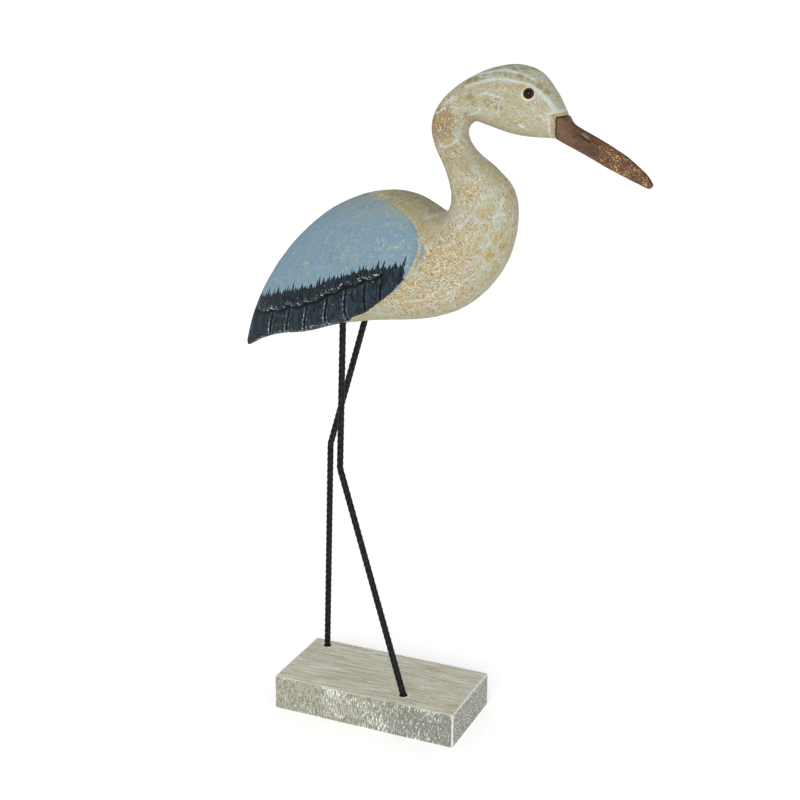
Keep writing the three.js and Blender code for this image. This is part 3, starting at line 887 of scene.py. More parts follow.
def saw_base():
    base = start_from(bpy.ops.mesh.primitive_cube_add, "wood_base", size=MM)
    base.data.transform(Matrix.Diagonal((*BASE_SIZE, 1)))
    shift_mesh(base, 0, 0, BASE_SIZE[2] / 2)
    open_mesh(base)
    pick_all()
    bpy.ops.mesh.bevel(offset=BASE_BEVEL * MM, segments=3)
    close_mesh()
    even_mesh(base, BASE_VOXEL, 3)
    weather_base(base)
    return base


# Paint


def rgb(red, green, blue):
    """A paint colour, mixed on the usual 0 to 255 scale, as the shader wants it."""
    shares = [c / 255 for c in (red, green, blue)]
    return (*[c / 12.92 if c < 0.04045 else ((c + 0.055) / 1.055) ** 2.4 for c in shares], 1)


class Recipe:
    """Writes shader nodes in short lines; the functions below call it r.

    A value is a number, a vector or another node's output. A paint is another node's output or
    red, green and blue as rgb takes them.
    """

    def __init__(self, tree):
        self.tree = tree

    def node(self, kind, **settings):
        made = self.tree.nodes.new(kind)
        for name, value in settings.items():
            setattr(made, name, value)
        return made

    def put(self, socket, value):
        if isinstance(value, bpy.types.NodeSocket):
            self.tree.links.new(value, socket)
        else:
            socket.default_value = value

    def feed(self, made, *values, **named):
        """Gives a node's inputs their values, in order or by name."""
        for socket, value in zip(made.inputs, values):
            self.put(socket, value)
        for name, value in named.items():
            self.put(made.inputs[name.replace("_", " ")], value)
        return made

    def math(self, operation, *values, clamp=False):
        made = self.node("ShaderNodeMath", operation=operation, use_clamp=clamp)
        return self.feed(made, *values).outputs[0]

    def chain(self, operation, whole, *others):
        for other in others:
            whole = self.math(operation, whole, other)
        return whole

    def times(self, *values):
        return self.chain("MULTIPLY", *values)

    def plus(self, *values):
        return self.chain("ADD", *values)

    def most(self, *values):
        return self.chain("MAXIMUM", *values)

    def vector(self, operation, *values):
        return self.feed(self.node("ShaderNodeVectorMath", operation=operation), *values).outputs[0]

    def moved(self, place, shift):
        return self.vector("ADD", place, shift)

    def scaled(self, place, by):
        return self.vector("MULTIPLY", place, (by,) * 3)

    def parts(self, value, kind="XYZ"):
        return self.feed(self.node("ShaderNodeSeparate" + kind), value).outputs

    def joined(self, *values):
        return self.feed(self.node("ShaderNodeCombineXYZ"), *values).outputs[0]

    def mix(self, share, *paints):
        made = self.node("ShaderNodeMix", data_type="RGBA", clamp_factor=True)
        self.put(made.inputs[0], share)
        for i, paint in zip((6, 7), paints):
            self.put(made.inputs[i], rgb(*paint) if isinstance(paint, tuple) else paint)
        return made.outputs[2]

    def mix_value(self, share, first, second):
        made = self.node("ShaderNodeMix", data_type="FLOAT", clamp_factor=True)
        for i, value in ((0, share), (2, first), (3, second)):
            self.put(made.inputs[i], value)
        return made.outputs[0]

    def ease(self, value, low, high, low_out=0.0, high_out=1.0):
        """low_out below low, high_out above high, and a soft change between."""
        made = self.node("ShaderNodeMapRange", interpolation_type="SMOOTHSTEP")
        return self.feed(made, value, low, high, low_out, high_out).outputs[0]

    def blend(self, value, low, high, first, second):
        """The first paint where the value is low and the second where it is high."""
        return self.mix(self.ease(value, low, high), first, second)

    def coats(self, colour, *layers):
        """Lays paints over a colour one after another; a layer is a mask and its paint."""
        for mask, paint in layers:
            colour = self.mix(mask, colour, paint)
        return colour

    def glazes(self, colour, *layers):
        """As coats, where a layer is a value, where it starts and is full, how thick, and its paint."""
        for value, low, high, thick, paint in layers:
            colour = self.mix(self.ease(value, low, high, 0, thick), colour, paint)
        return colour

    def centred(self, value, amount):
        """A noise value made to swing about nought by up to half of amount."""
        return self.times(self.math("SUBTRACT", value, 0.5), amount)

    def ragged(self, edge, value, amount, low, high):
        """The mask that a distance gives between low and high, once a noise has frayed it."""
        return self.ease(self.plus(edge, self.centred(value, amount)), low, high)

    def place(self):
        """Object coordinates in millimetres."""
        return self.scaled(self.node("ShaderNodeTexCoord").outputs["Object"], 1 / MM)

    def turned(self, place, size, angle=(0, 0, 0), shift=(0, 0, 0)):
        made = self.node("ShaderNodeMapping", vector_type="TEXTURE")
        turn = [math.radians(a) for a in angle]
        return self.feed(made, Vector=place, Scale=size, Rotation=turn, Location=shift).outputs[0]

    def noise(self, place, scale=1.0, detail=2.0, rough=0.5, warp=0.0, out="Fac"):
        """Lumpy noise; its Color output gives three unlike noises at once."""
        made = self.node("ShaderNodeTexNoise")
        self.feed(made, Vector=place, Scale=scale, Detail=detail, Roughness=rough, Distortion=warp)
        return made.outputs[out]

    def drawn(self, place, size, detail=1, rough=0.5, angle=(0, 0, 0), shift=(0, 0, 0), warp=0.0):
        """Noise whose lumps have that size in millimetres along each axis, once turned by angle."""
        return self.noise(self.turned(place, size, angle, shift), 1.0, detail, rough, warp)

    def hues(self, place, size, detail, rough):
        """Three unlike noises of one size."""
        colour = self.noise(self.turned(place, size), 1.0, detail, rough, out="Color")
        return self.parts(colour, "Color")

    def cells(self, place, scale, feature="F1", jitter=1.0):
        made = self.node("ShaderNodeTexVoronoi", feature=feature)
        return self.feed(made, Vector=place, Scale=scale, Randomness=jitter).outputs

    def map(self, name):
        return self.node("ShaderNodeAttribute", attribute_name=name).outputs["Fac"]

    def group(self, tree, **values):
        return self.feed(self.node("ShaderNodeGroup", node_tree=tree), **values).outputs


def new_group(name, inputs, outputs):
    """A shader node group; an input is given with its usual value, or None for a place."""
    tree = bpy.data.node_groups.new(name, "ShaderNodeTree")
    for label, value in inputs.items():
        kind = "NodeSocketVector" if value is None else "NodeSocketFloat"
        socket = tree.interface.new_socket(label, in_out="INPUT", socket_type=kind)
        if value is not None:
            socket.default_value = value
    for label in outputs:
        tree.interface.new_socket(label, in_out="OUTPUT", socket_type="NodeSocketFloat")
    r = Recipe(tree)
    return tree, r, r.node("NodeGroupInput").outputs, r.node("NodeGroupOutput")


def grit_group():
    """Sandy grit in the paint: pale and dark grains about a millimetre across, more with Amount."""
    inputs = {"Place": None, "Grain": 1.0, "Amount": 0.5}
    tree, r, given, out = new_group("sandy_grit", inputs, ("Pale", "Dark"))
    size = r.math("DIVIDE", 1.0, given["Grain"])
    for label, shift, share in (("Pale", (0, 0, 0), 0.5), ("Dark", (31, 7, 13), 0.42)):
        grains = r.cells(r.moved(given["Place"], shift), size)
        chance = r.parts(grains["Color"], "Color")[0]
        none, all_of_it = (r.times(given["Amount"], share * part) for part in (1, 0.9))
        grain = r.times(r.ease(chance, none, all_of_it), r.ease(grains["Distance"], 0.62, 0.38))
        r.feed(out, **{label: grain})
    return tree


def grain_group():
    """Wood grain or brush drag that runs along X of the place it is given."""
    inputs = {"Place": None, "Width": 1.2, "Length": 24.0}
    tree, r, given, out = new_group("long_grain", inputs, ("Streak", "Fine", "Height"))
    per_length, per_width = (r.math("DIVIDE", 1.0, given[label]) for label in ("Length", "Width"))
    along = r.vector("MULTIPLY", given["Place"], r.joined(per_length, per_width, per_width))
    broad = r.noise(r.vector("MULTIPLY", along, (1.0, 0.35, 0.35)), 1.0, 3, 0.6, 0.6)
    fine = r.noise(along, 1.6, 3, 0.65, 0.2)
    r.feed(out, Streak=broad, Fine=fine, Height=r.plus(r.times(broad, 0.4), r.times(fine, 0.6)))
    return tree


def net_group():
    """Thin pale paint lying as a soft broken net round oval islands of the coat below."""
    inputs = {"Place": None, "Cell": 6.0, "Line": 0.12, "Cover": 0.5}
    tree, r, given, out = new_group("whitewash_net", inputs, ("Net", "Island"))
    place, line = given["Place"], given["Line"]
    drift = r.moved(r.noise(place, 0.3, 3, out="Color"), (-0.5,) * 3)
    bent = r.moved(place, r.scaled(drift, 4.5))
    edge = r.cells(bent, r.math("DIVIDE", 1.0, given["Cell"]), "DISTANCE_TO_EDGE", 0.85)["Distance"]
    frayed = r.plus(edge, r.centred(r.noise(place, 1.1, 3, 0.7), 0.16))
    bare, full = (r.math("SUBTRACT", level, given["Cover"]) for level in (0.75, 0.9))
    cover = r.ease(r.noise(r.moved(place, (5, 50, 9)), 0.16), bare, full)
    net = r.times(r.ease(frayed, line, r.times(line, 0.3)), cover)
    r.feed(out, Net=net, Island=r.ease(frayed, line, r.plus(line, 0.25)))
    return tree


def new_material(name, roughness, specular):
    material = bpy.data.materials.new(name)
    material.use_nodes = True
    shader = material.node_tree.nodes["Principled BSDF"]
    r = Recipe(material.node_tree)
    r.feed(shader, Roughness=roughness, Specular_IOR_Level=specular)
    return material, r, shader


def raise_surface(r, shader, height, distance, strength):
    bump = r.feed(r.node("ShaderNodeBump"), Strength=strength, Distance=distance * MM, Height=height)
    r.feed(shader, Normal=bump.outputs[0])


GRIT, GRAIN, NET = grit_group(), grain_group(), net_group()


def brush_point(r, x, above, width, tall, short, lean, shift):
    """How far up the brush point nearest to each place reaches."""
    strokes = r.node("ShaderNodeTexVoronoi", voronoi_dimensions="1D")
    found = r.feed(strokes, W=r.plus(x, r.times(above, -lean), shift), Scale=1 / width).outputs
    chance = r.math("POWER", r.parts(found["Color"], "Color")[0], 1.2)
    sharp = r.math("SUBTRACT", 1.0, r.times(found["Distance"], 2.6), clamp=True)
    return r.times(r.plus(short, r.times(chance, tall)), r.math("POWER", sharp, 1.3))


def dark_feather_mask(r, place):
    """The painted dark feathers: brush points along the top, a ragged front end."""
    above = r.map("above_band")
    x = r.parts(place)[0]
    reach = r.most(*[brush_point(r, x, above, *row) for row in BRUSH_POINTS])
    top = r.ease(r.math("SUBTRACT", r.plus(reach, -0.5), above), -0.15, 0.25)
    frayed = r.drawn(place, (1.6, 1.6, 5.0), 3, 0.6, (0, -20, 0))
    return r.times(top, r.ragged(r.map("behind_front"), frayed, 4.0, -0.2, 0.2))


def blue_field(r, place):
    """Slate blue of the upper wing, brushed along its slope, with faint pale crackle."""
    along = r.turned(place, (1, 1, 1), WING_SLOPE)
    drag = r.group(GRAIN, Place=along, Width=1.5, Length=22.0)
    grain = r.noise(place, 1.2, 3, 0.75)
    tint = r.hues(along, (3.4, 1.4, 1.6), 3, 0.7)
    blue = r.glazes(
        r.blend(r.noise(place, 0.07, 4, 0.6), 0.36, 0.64, (100, 130, 148), (115, 141, 154)),
        (drag["Streak"], 0.4, 0.65, 0.5, (122, 147, 156)),
        (drag["Fine"], 0.5, 0.7, 0.4, (91, 118, 135)),
        (tint[0], 0.48, 0.58, 0.85, (92, 139, 146)),
        (tint[1], 0.48, 0.58, 0.75, (122, 131, 164)),
        (tint[2], 0.5, 0.6, 0.65, (132, 149, 142)),
        (grain, 0.48, 0.66, 0.5, (130, 149, 156)),
        (grain, 0.46, 0.32, 0.5, (88, 110, 124)),
    )
    near_ridge = r.ease(r.parts(place)[2], 342, 366)
    smoky = r.times(near_ridge, r.ease(drag["Streak"], 0.35, 0.62, 0.15, 0.9))
    bent = r.moved(place, r.scaled(r.noise(place, 0.35, out="Color"), 1.6))
    crackle = r.ease(r.cells(bent, 1 / 9, "DISTANCE_TO_EDGE", 0.8)["Distance"], 0.034, 0.012)
    broken = r.times(
        r.ease(r.noise(place, 0.1), 0.47, 0.53), r.ease(r.noise(place, 0.5, 2, 0.6), 0.42, 0.52)
    )
    fleck = r.group(GRIT, Place=place, Grain=0.9, Amount=0.035)["Pale"]
    return r.coats(
        blue,
        (smoky, (142, 149, 131)),
        (r.times(crackle, broken, 0.75), (158, 163, 148)),
        (r.times(fleck, 0.5), (158, 166, 160)),
    )


def pale_chips(r, place, below, gap, rear):
    """Worn flecks along the scallops, beside the grooves, on the lower rim and here and there."""
    dashes = r.ease(r.drawn(place, (1.7, 2.0, 0.5), angle=(0, -18, 0)), 0.59, 0.64)
    above_line = r.times(r.ease(below, -4.2, -3.2), r.ease(below, -1.0, -1.5))
    clusters = r.ease(r.noise(place, 0.22, 1), 0.4, 0.5, 0.1, 1.0)
    ticks = r.ease(r.drawn(place, (0.6, 1.0, 2.2)), 0.6, 0.64)
    beside = r.times(r.ease(gap, 2.0, 1.6), r.ease(gap, 0.7, 1.0), r.ease(below, 0.5, 1.5), rear)
    on_rim = r.times(r.map("lower_rim"), r.ease(r.drawn(place, (1.8, 1.8, 0.8)), 0.6, 0.65))
    loose = r.ease(r.drawn(place, (0.8, 0.8, 1.3), angle=(0, 30, 0)), 0.73, 0.76)
    along_scallops = r.times(dashes, above_line, clusters)
    return r.most(along_scallops, r.times(ticks, beside), on_rim, r.times(loose, 0.7))


def dark_feathers(r, place):
    """Near-black feathers streaked with blue, with pale chips along the carved edges; painted shadow
    under the scalloped step and, with black paint, in the grooves, and a painted highlight beside them.
    """
    below, gap = r.map("below_scallop"), r.map("groove_gap")
    upright = r.drawn(place, (0.6, 0.9, 7.0), 2, 0.6, (0, -8, 0))
    patch = r.ease(r.drawn(place, (3.0, 3.0, 8.0), 2), 0.45, 0.62, 0, 0.6)
    feathers = r.ease(below, 0.5, 2.5)
    rear = r.ease(r.parts(place)[0], 0, -24, 0.15, 1.0)
    beside = r.times(r.ease(gap, 1.9, 1.5), r.ease(gap, 0.9, 1.1))
    # Painted highlight: a lighter blue streak beside each groove.
    groove_highlight = r.times(beside, feathers, r.ease(upright, 0.35, 0.6), rear)
    return r.coats(
        r.blend(upright, 0.42, 0.6, (8, 14, 17), (32, 45, 54)),
        (r.times(patch, feathers), (40, 57, 71)),
        # Painted shadow under the scalloped step, then black paint and painted shade in the grooves, then
        # the painted highlight beside them.
        (r.ease(r.math("ABSOLUTE", r.plus(below, 0.3)), 1.6, 0.5), (10, 14, 16)),
        (r.times(r.ease(gap, 0.9, 0.4), feathers), (9, 13, 15)),
        (r.times(groove_highlight, 0.65), (90, 110, 121)),
        (r.times(pale_chips(r, place, below, gap, rear), 0.85), (186, 194, 192)),
    )


def body_brushwork(r):
    """The bird's places and the noises that its coats share; flow runs along and across the body."""
    place = r.place()
    flow = r.joined(r.map("flow_along"), r.map("flow_across"), r.parts(place)[1])
    return SimpleNamespace(
        place=place,
        flow=flow,
        cloud=r.noise(flow, 0.06, 3, 0.55, 0.3),
        broad=r.drawn(flow, (8.0, 3.6, 4.0), 3, 0.6, warp=0.4),
        streak=r.drawn(flow, (6.0, 0.75, 1.0), 3, 0.7, warp=0.3),
        dry=r.drawn(flow, (1.9, 0.55, 0.8)),
        grain=r.noise(place, 1.1, 2, 0.8),
        near=r.hues(flow, (2.0, 0.9, 1.2), 2, 0.7),
        far=r.hues(flow, (7.0, 3.4, 4.0), 2, 0.6),
        warm=r.map("warm_coat"),
    )


def whitewash_cover(r, brush, net):
    """How thickly the whitewash lies, from about 0 to 1."""
    swings = ((brush.broad, 1.5), (brush.streak, 1.3), (brush.grain, 0.7), (brush.dry, 0.5))
    return r.plus(
        0.36,
        *[r.centred(value, amount) for value, amount in swings],
        r.times(net["Island"], r.map("net_cover"), -0.25),
        r.times(r.map("ochre_ovals"), -0.35),
        r.times(r.map("grey_wash"), 0.3),
        r.times(brush.warm, -0.08),
    )


def ochre_coat(r, brush, cover):
    """Ochre ground, dry-brushed with cool whitewash along the body."""
    ochre = r.blend(brush.cloud, 0.35, 0.65, (146, 140, 102), (156, 144, 104))
    sunny = r.blend(brush.broad, 0.4, 0.65, (171, 153, 108), (173, 149, 96))
    return r.glazes(
        r.mix(brush.warm, ochre, sunny),
        (brush.far[0], 0.46, 0.6, 0.75, (170, 142, 86)),
        (brush.far[1], 0.48, 0.62, 0.7, (142, 144, 104)),
        (cover, -0.05, 1.0, 0.88, (170, 174, 163)),
        (brush.far[2], 0.5, 0.62, 0.4, (168, 143, 90)),
        (brush.near[0], 0.5, 0.61, 0.55, (170, 142, 86)),
        (brush.near[1], 0.5, 0.61, 0.5, (142, 152, 120)),
        (brush.near[2], 0.5, 0.61, 0.45, (172, 179, 178)),
        (brush.grain, 0.46, 0.3, 0.3, (132, 120, 80)),
        (brush.dry, 0.54, 0.66, 0.4, (186, 188, 174)),
        (brush.dry, 0.46, 0.34, 0.25, (138, 130, 94)),
    )


def painted_patches(r, coat, brush, net, cover):
    """Olive paint that is partly painted shade, ochre ovals, the whitewash net, the wing's gold band, the
    rusty nape and licks.
    """
    # Olive paint laid partly as painted shade on the tops, under the jaw and along the neck's front edge.
    olive_and_shade_there = r.times(r.map("olive_paint_and_shade"), r.ease(brush.near[2], 0.4, 0.62, 1.0, 0.55))
    ovals_there = r.times(r.map("ochre_ovals"), r.ease(brush.grain, 0.3, 0.6, 0.8, 1.0))
    net_there = r.times(net["Net"], r.ease(brush.streak, 0.38, 0.56, 0.1, 1.0), 0.7)
    band = r.blend(brush.streak, 0.4, 0.6, (148, 139, 104), (156, 147, 116))
    lick = r.ease(r.drawn(brush.flow, (3.4, 0.6, 0.9), 2, 0.7, shift=(7, 3, 2)), 0.58, 0.63)
    return r.coats(
        coat,
        (olive_and_shade_there, r.blend(cover, 0.1, 0.9, (127, 124, 93), (148, 147, 124))),
        (ovals_there, r.mix(brush.warm, (134, 128, 92), (164, 141, 90))),
        (net_there, (171, 179, 173)),
        (r.times(r.map("gold_band"), 0.7), band),
        (r.map("rusty_coat"), r.blend(brush.grain, 0.35, 0.6, (108, 85, 56), (150, 128, 94))),
        (r.times(lick, r.ease(brush.broad, 0.4, 0.55), 0.6), (182, 188, 182)),
    )


def sandy_patches(r, coat, brush):
    """Clumps of sand, with pale and dark grains, thick where the grit map says and thin elsewhere."""
    place, grit = brush.place, r.map("grit")
    there = r.times(grit, r.ease(r.noise(place, 0.24, 3, 0.7), 0.4, 0.58, 0.06, 0.95))
    clump = r.ease(r.noise(place, 0.36, 2, 0.6), 0.48, 0.6, 0, 0.7)
    coarse = r.group(GRIT, Place=place, Grain=1.15, Amount=there)
    scatter = r.plus(r.times(there, 0.7), 0.07)
    fine = r.group(GRIT, Place=r.moved(place, (11, 5, 3)), Grain=0.85, Amount=scatter)
    off_rust = r.ease(r.map("rusty_coat"), 0, 0.8, 0.85, 0.4)
    return r.coats(
        coat,
        (r.times(clump, grit), (168, 138, 82)),
        (r.times(coarse["Dark"], 0.85), (142, 108, 60)),
        (r.times(fine["Dark"], 0.75), (112, 92, 56)),
        (r.times(coarse["Pale"], off_rust), (198, 197, 184)),
        (r.times(fine["Pale"], 0.8), (192, 194, 186)),
    )


def painted_lines(r, coat, brush):
    """White strokes of a half-dry brush, one a painted highlight along the shoulder's crease, the cream
    line over the bill and the ring round the eye.
    """
    place = brush.place
    # The strokes include a painted highlight along the shoulder's crease.
    stroke = r.ragged(r.map("stroke_gap"), r.noise(place, 0.8, 3, 0.8), 2.6, 0.7, -0.3)
    thin = r.ease(r.drawn(brush.flow, (2.4, 0.6, 1.0), 2, 0.7), 0.38, 0.54, 0.35, 1.0)
    on_head = r.ease(r.parts(place)[2], 385, 405, 0.55, 1.0)
    cream = r.ragged(r.map("cream_gap"), brush.grain, 0.8, 0.3, -0.1)
    halo = r.ragged(r.map("eye_gap"), r.noise(place, 0.8), 0.4, 0.8, 0.45)
    return r.coats(
        coat,
        (r.times(stroke, thin, on_head), (186, 195, 190)),
        (r.times(cream, 0.8), (168, 150, 108)),
        (halo, (200, 194, 166)),
    )


def body_coat(r, brush):
    """All the paint of the body, neck and head."""
    place = r.turned(brush.flow, (1.25, 0.95, 1.0))
    net = r.group(NET, Place=place, Cell=6.5, Line=0.15, Cover=r.map("net_cover"))
    cover = whitewash_cover(r, brush, net)
    coat = painted_patches(r, ochre_coat(r, brush, cover), brush, net, cover)
    return painted_lines(r, sandy_patches(r, coat, brush), brush)


def wing_mask(r, place, depth):
    """Where the wing's paint lies: up to the carved edge, and brushed out thinly over the ridge."""
    inner = r.ragged(depth, r.noise(place, 0.5, 3, 0.6), 1.1, -0.15, 0.3)
    brushed = r.drawn(place, (9.0, 1.1, 1.1), 2, 0.6, WING_SLOPE)
    faded = r.times(r.ragged(depth, brushed, 9.0, -0.6, 1.6), r.ease(depth, -1.2, 0.2))
    return r.mix_value(r.ease(r.parts(place)[2], 346, 357), inner, faded)


def bird_material():
    material, r, shader = new_material("whitewashed_bird", 0.74, 0.15)
    brush = body_brushwork(r)
    place, depth = brush.place, r.map("wing_depth")
    dark = dark_feather_mask(r, place)
    wing = r.mix(dark, blue_field(r, place), dark_feathers(r, place))
    in_wing = wing_mask(r, place, depth)
    slip = r.ragged(r.map("blue_slip"), r.noise(place, 0.9, 3, 0.7), 1.6, 0.4, -0.3)
    rim = r.times(r.ease(depth, -0.7, -0.35), r.ease(depth, 0.55, 0.1), r.map("pale_rim"))
    chipped = r.ease(r.noise(place, 0.8, 3, 0.7), 0.45, 0.55)
    under = r.ragged(r.map("under_wing"), r.noise(place, 0.6, 3, 0.7), 0.5, 0.35, 0.6)
    bare = r.blend(r.noise(place, 0.2, 3, 0.6), 0.4, 0.6, (160, 151, 122), (176, 172, 152))
    colour = r.coats(
        body_coat(r, brush),
        (r.times(slip, 0.8), (112, 132, 140)),
        (in_wing, wing),
        (r.times(rim, chipped, 0.85), (184, 178, 154)),
        (r.times(under, in_wing), bare),
    )
    r.feed(shader, Base_Color=colour, Roughness=r.mix_value(r.times(dark, in_wing), 0.78, 0.5))
    grit = r.group(GRIT, Place=place, Grain=1.05, Amount=r.plus(r.map("grit"), 0.1))
    grains = r.times(r.math("SUBTRACT", grit["Pale"], grit["Dark"]), 0.5)
    on_body = r.group(GRAIN, Place=brush.flow, Width=1.2, Length=12.0)
    on_wing = r.group(GRAIN, Place=r.turned(place, (1, 1, 1), WING_SLOPE), Width=1.2, Length=16.0)
    drag = r.mix_value(in_wing, on_body["Height"], on_wing["Height"])
    raise_surface(r, shader, r.plus(grains, drag), 0.14, 0.7)
    return material


def fleck_amount(r, place):
    """How many ochre flecks the bill has: most of them short of its tip, in clusters."""
    x = r.parts(place)[0]
    near_tip = r.times(r.ease(x, 138, 150), r.ease(x, 173, 170, 0.2, 1.0))
    return r.times(near_tip, r.ease(r.noise(place, 0.2, 1), 0.4, 0.56, 0.15, 1.0), 0.62)


def bill_marks(r, colour, place, mottle):
    """The bill's lower edge lit by a painted reflection, smudges, painted shade along its top edge,
    the painted shadow at its root, and its nostrils.
    """
    x, from_back = r.parts(place)[0], r.map("from_back")
    # Painted reflection: lighter along the lower edge.
    low = r.times(r.ease(r.map("from_belly"), 0.9, 0.2), r.ease(r.noise(place, 0.4), 0.35, 0.6))
    # Painted shade along the bill's top edge.
    ridge = r.times(r.ragged(from_back, mottle, 0.6, 0.5, 0.1), r.ease(x, 122, 125))
    # Painted shadow at the root, where the bill sits in the head's notch.
    root_shadow = r.times(r.ease(from_back, 0.7, 0.3, 0.0, 0.8), r.ease(x, 123, 121))
    slit = r.ragged(r.map("nostril_gap"), r.noise(place, 0.8, 2, 0.6), 0.5, 0.85, 0.15)
    return r.coats(
        colour,
        (r.times(low, 0.75), (140, 92, 72)),
        (r.times(r.map("smudge"), 0.6), (52, 44, 34)),
        (r.times(ridge, 0.8), (38, 29, 24)),
        # Painted shadow along the bill's back edge and over its root.
        (r.times(r.most(r.ease(x, 117.7, 117.1), root_shadow), 0.8), (40, 29, 23)),
        (r.times(r.map("nostril_patch"), 0.8), (116, 116, 102)),
        (r.times(slit, r.ease(r.map("nostril_along"), 1.0, 9.0, 0.25, 0.9)), (28, 20, 16)),
    )


def bill_material():
    material, r, shader = new_material("brown_bill", 0.55, 0.25)
    place = r.place()
    x = r.parts(place)[0]
    along = r.turned(place, (1, 1, 1), BILL_SLOPE)
    grain = r.group(GRAIN, Place=along, Width=1.1, Length=9.0)
    mottle = r.noise(place, 0.35, 4, 0.65, 0.4)
    tint = r.hues(along, (2.4, 1.2, 1.2), 3, 0.7)
    brown = r.glazes(
        r.blend(mottle, 0.36, 0.62, (66, 49, 36), (101, 70, 48)),
        (grain["Fine"], 0.5, 0.72, 0.5, (56, 43, 34)),
        (tint[0], 0.5, 0.66, 0.6, (118, 74, 48)),
        (tint[1], 0.5, 0.66, 0.5, (78, 70, 48)),
        (r.noise(place, 1.3, 3, 0.75), 0.5, 0.68, 0.5, (120, 88, 60)),
    )
    grey = r.times(r.ease(x, 129, 121), r.ease(mottle, 0.38, 0.58, 0.35, 0.7))
    red = r.times(r.ease(x, 140, 165, 0.3, 0.8), r.ease(r.noise(place, 0.2, 3, 0.6), 0.45, 0.62))
    amount = fleck_amount(r, place)
    flecks = r.group(GRIT, Place=place, Grain=1.0, Amount=amount)
    specks = r.group(GRIT, Place=r.moved(place, (3, 7, 5)), Grain=0.7, Amount=amount)
    flecked = r.coats(
        brown,
        (grey, (104, 84, 66)),
        (red, (112, 66, 44)),
        (r.times(flecks["Dark"], 0.6), (56, 44, 30)),
        (r.times(specks["Pale"], 0.7), (180, 152, 98)),
        (r.times(flecks["Pale"], 0.8), (188, 158, 100)),
    )
    rough = r.ease(grain["Fine"], 0.3, 0.7, 0.48, 0.68)
    r.feed(shader, Base_Color=bill_marks(r, flecked, place, mottle), Roughness=rough)
    raise_surface(r, shader, r.plus(grain["Height"], r.times(flecks["Pale"], 0.5)), 0.2, 0.6)
    return material


def bead_material():
    material, r, shader = new_material("glossy_bead", 0.09, 0.22)
    place = r.place()
    x, _, z = r.parts(r.moved(place, (-EYE_X, 0, -EYE_Z)))
    squares = r.plus(r.math("POWER", x, 2.0), r.math("POWER", z, 2.0))
    iris = r.ragged(r.math("POWER", squares, 0.5), r.noise(place, 0.6), 0.5, 2.2, 3.0)
    r.feed(shader, Base_Color=r.mix(iris, (6, 4, 4), (70, 24, 14)))
    return material


def bar_material():
    material, r, shader = new_material("black_bar_paint", 0.5, 0.1)
    place = r.place()
    mottle = r.noise(place, 0.5, 3, 0.6)
    # Lighter grey on the tops of the ribs, in broken patches.
    rib_tops_lighter = r.times(r.map("rib_height"), r.ease(r.noise(place, 0.8, 3, 0.6), 0.4, 0.6), 0.65)
    black = r.blend(mottle, 0.35, 0.7, (6, 8, 8), (17, 20, 19))
    rough = r.ease(mottle, 0.3, 0.7, 0.4, 0.6)
    r.feed(shader, Base_Color=r.mix(rib_tops_lighter, black, (66, 72, 69)), Roughness=rough)
    raise_surface(r, shader, r.noise(place, 2.2, 3, 0.6), 0.08, 0.5)
    return material


def board_top(r, place, fine, lines, crack):
    """Whitewashed face grain: broad bands, fine lines, warm and green stains and dark cracks."""
    bands = r.drawn(place, (40.0, 6.0, 9.0), 3, 0.55, warp=0.2)
    top = r.glazes(
        r.blend(bands, 0.38, 0.62, (198, 194, 173), (213, 213, 198)),
        (lines, 0.5, 0.62, 0.85, (156, 150, 124)),
        (lines, 0.48, 0.36, 0.9, (238, 239, 231)),
        (r.drawn(place, (26, 1.4, 6), 3, 0.6), 0.54, 0.64, 0.6, (202, 180, 142)),
        (r.drawn(place, (18, 1.2, 6), 3, 0.6, shift=(5, 9, 2)), 0.54, 0.64, 0.5, (184, 192, 172)),
    )
    return r.glazes(
        r.mix(r.times(crack, 0.65), top, (112, 104, 86)),
        (fine, 0.52, 0.64, 0.6, (232, 233, 224)),
        (fine, 0.46, 0.34, 0.5, (160, 156, 132)),
    )


def side_wash(r, place, patches):
    """White paint left on the sawn sides in upright flecks, fullest along the middle."""
    x = r.parts(place)[0]
    white = r.drawn(place, (0.5, 0.5, 3.2), angle=(0, 4, 0), shift=(9, 3, 5))
    middle = r.times(r.ease(x, -52, -20), r.ease(x, 66, 50, 0.5, 1.0))
    least = r.plus(0.7, r.centred(patches, -0.35), r.plus(r.times(middle, -0.095), -0.015))
    return r.ease(r.math("SUBTRACT", white, least), 0.0, 0.03)


def board_sides(r, place, fine, sawn, wash, at_end):
    """Grey-brown sawn sides with their wash and painted shade growing towards the +X end, and the paler
    brushed end.
    """
    x = r.parts(place)[0]
    cross = r.ease(r.drawn(place, (20, 20, 0.5), angle=(0, -2, 0)), 0.62, 0.67, 0, 0.6)
    grey = r.ease(r.drawn(place, (26, 26, 3), 2), 0.5, 0.64, 0, 0.6)
    # Painted shade: the sides darken towards the +X end, over random grey patches.
    greyed = r.most(grey, r.ease(x, 5, 35, 0, 0.6))
    shaded = r.times(greyed, r.ease(wash, 0.6, 0.2), r.ease(x, -20, 30, 0.4, 1.0))
    strokes = r.drawn(place, (3.2, 3.2, 0.75), 3, 0.75, (-35, 0, 0))
    end = r.blend(strokes, 0.4, 0.56, (110, 110, 99), (182, 184, 174))
    return r.coats(
        r.blend(sawn, 0.4, 0.6, (122, 120, 104), (172, 171, 154)),
        (r.ease(fine, 0.5, 0.36, 0, 0.4), (116, 114, 100)),
        (wash, (236, 239, 234)),
        (r.times(cross, r.ease(fine, 0.35, 0.6, 0.3, 1.0)), (208, 212, 205)),
        (shaded, (106, 109, 104)),
        (r.times(at_end, 0.8), r.mix(r.ease(strokes, 0.57, 0.62), end, (222, 225, 219))),
    )


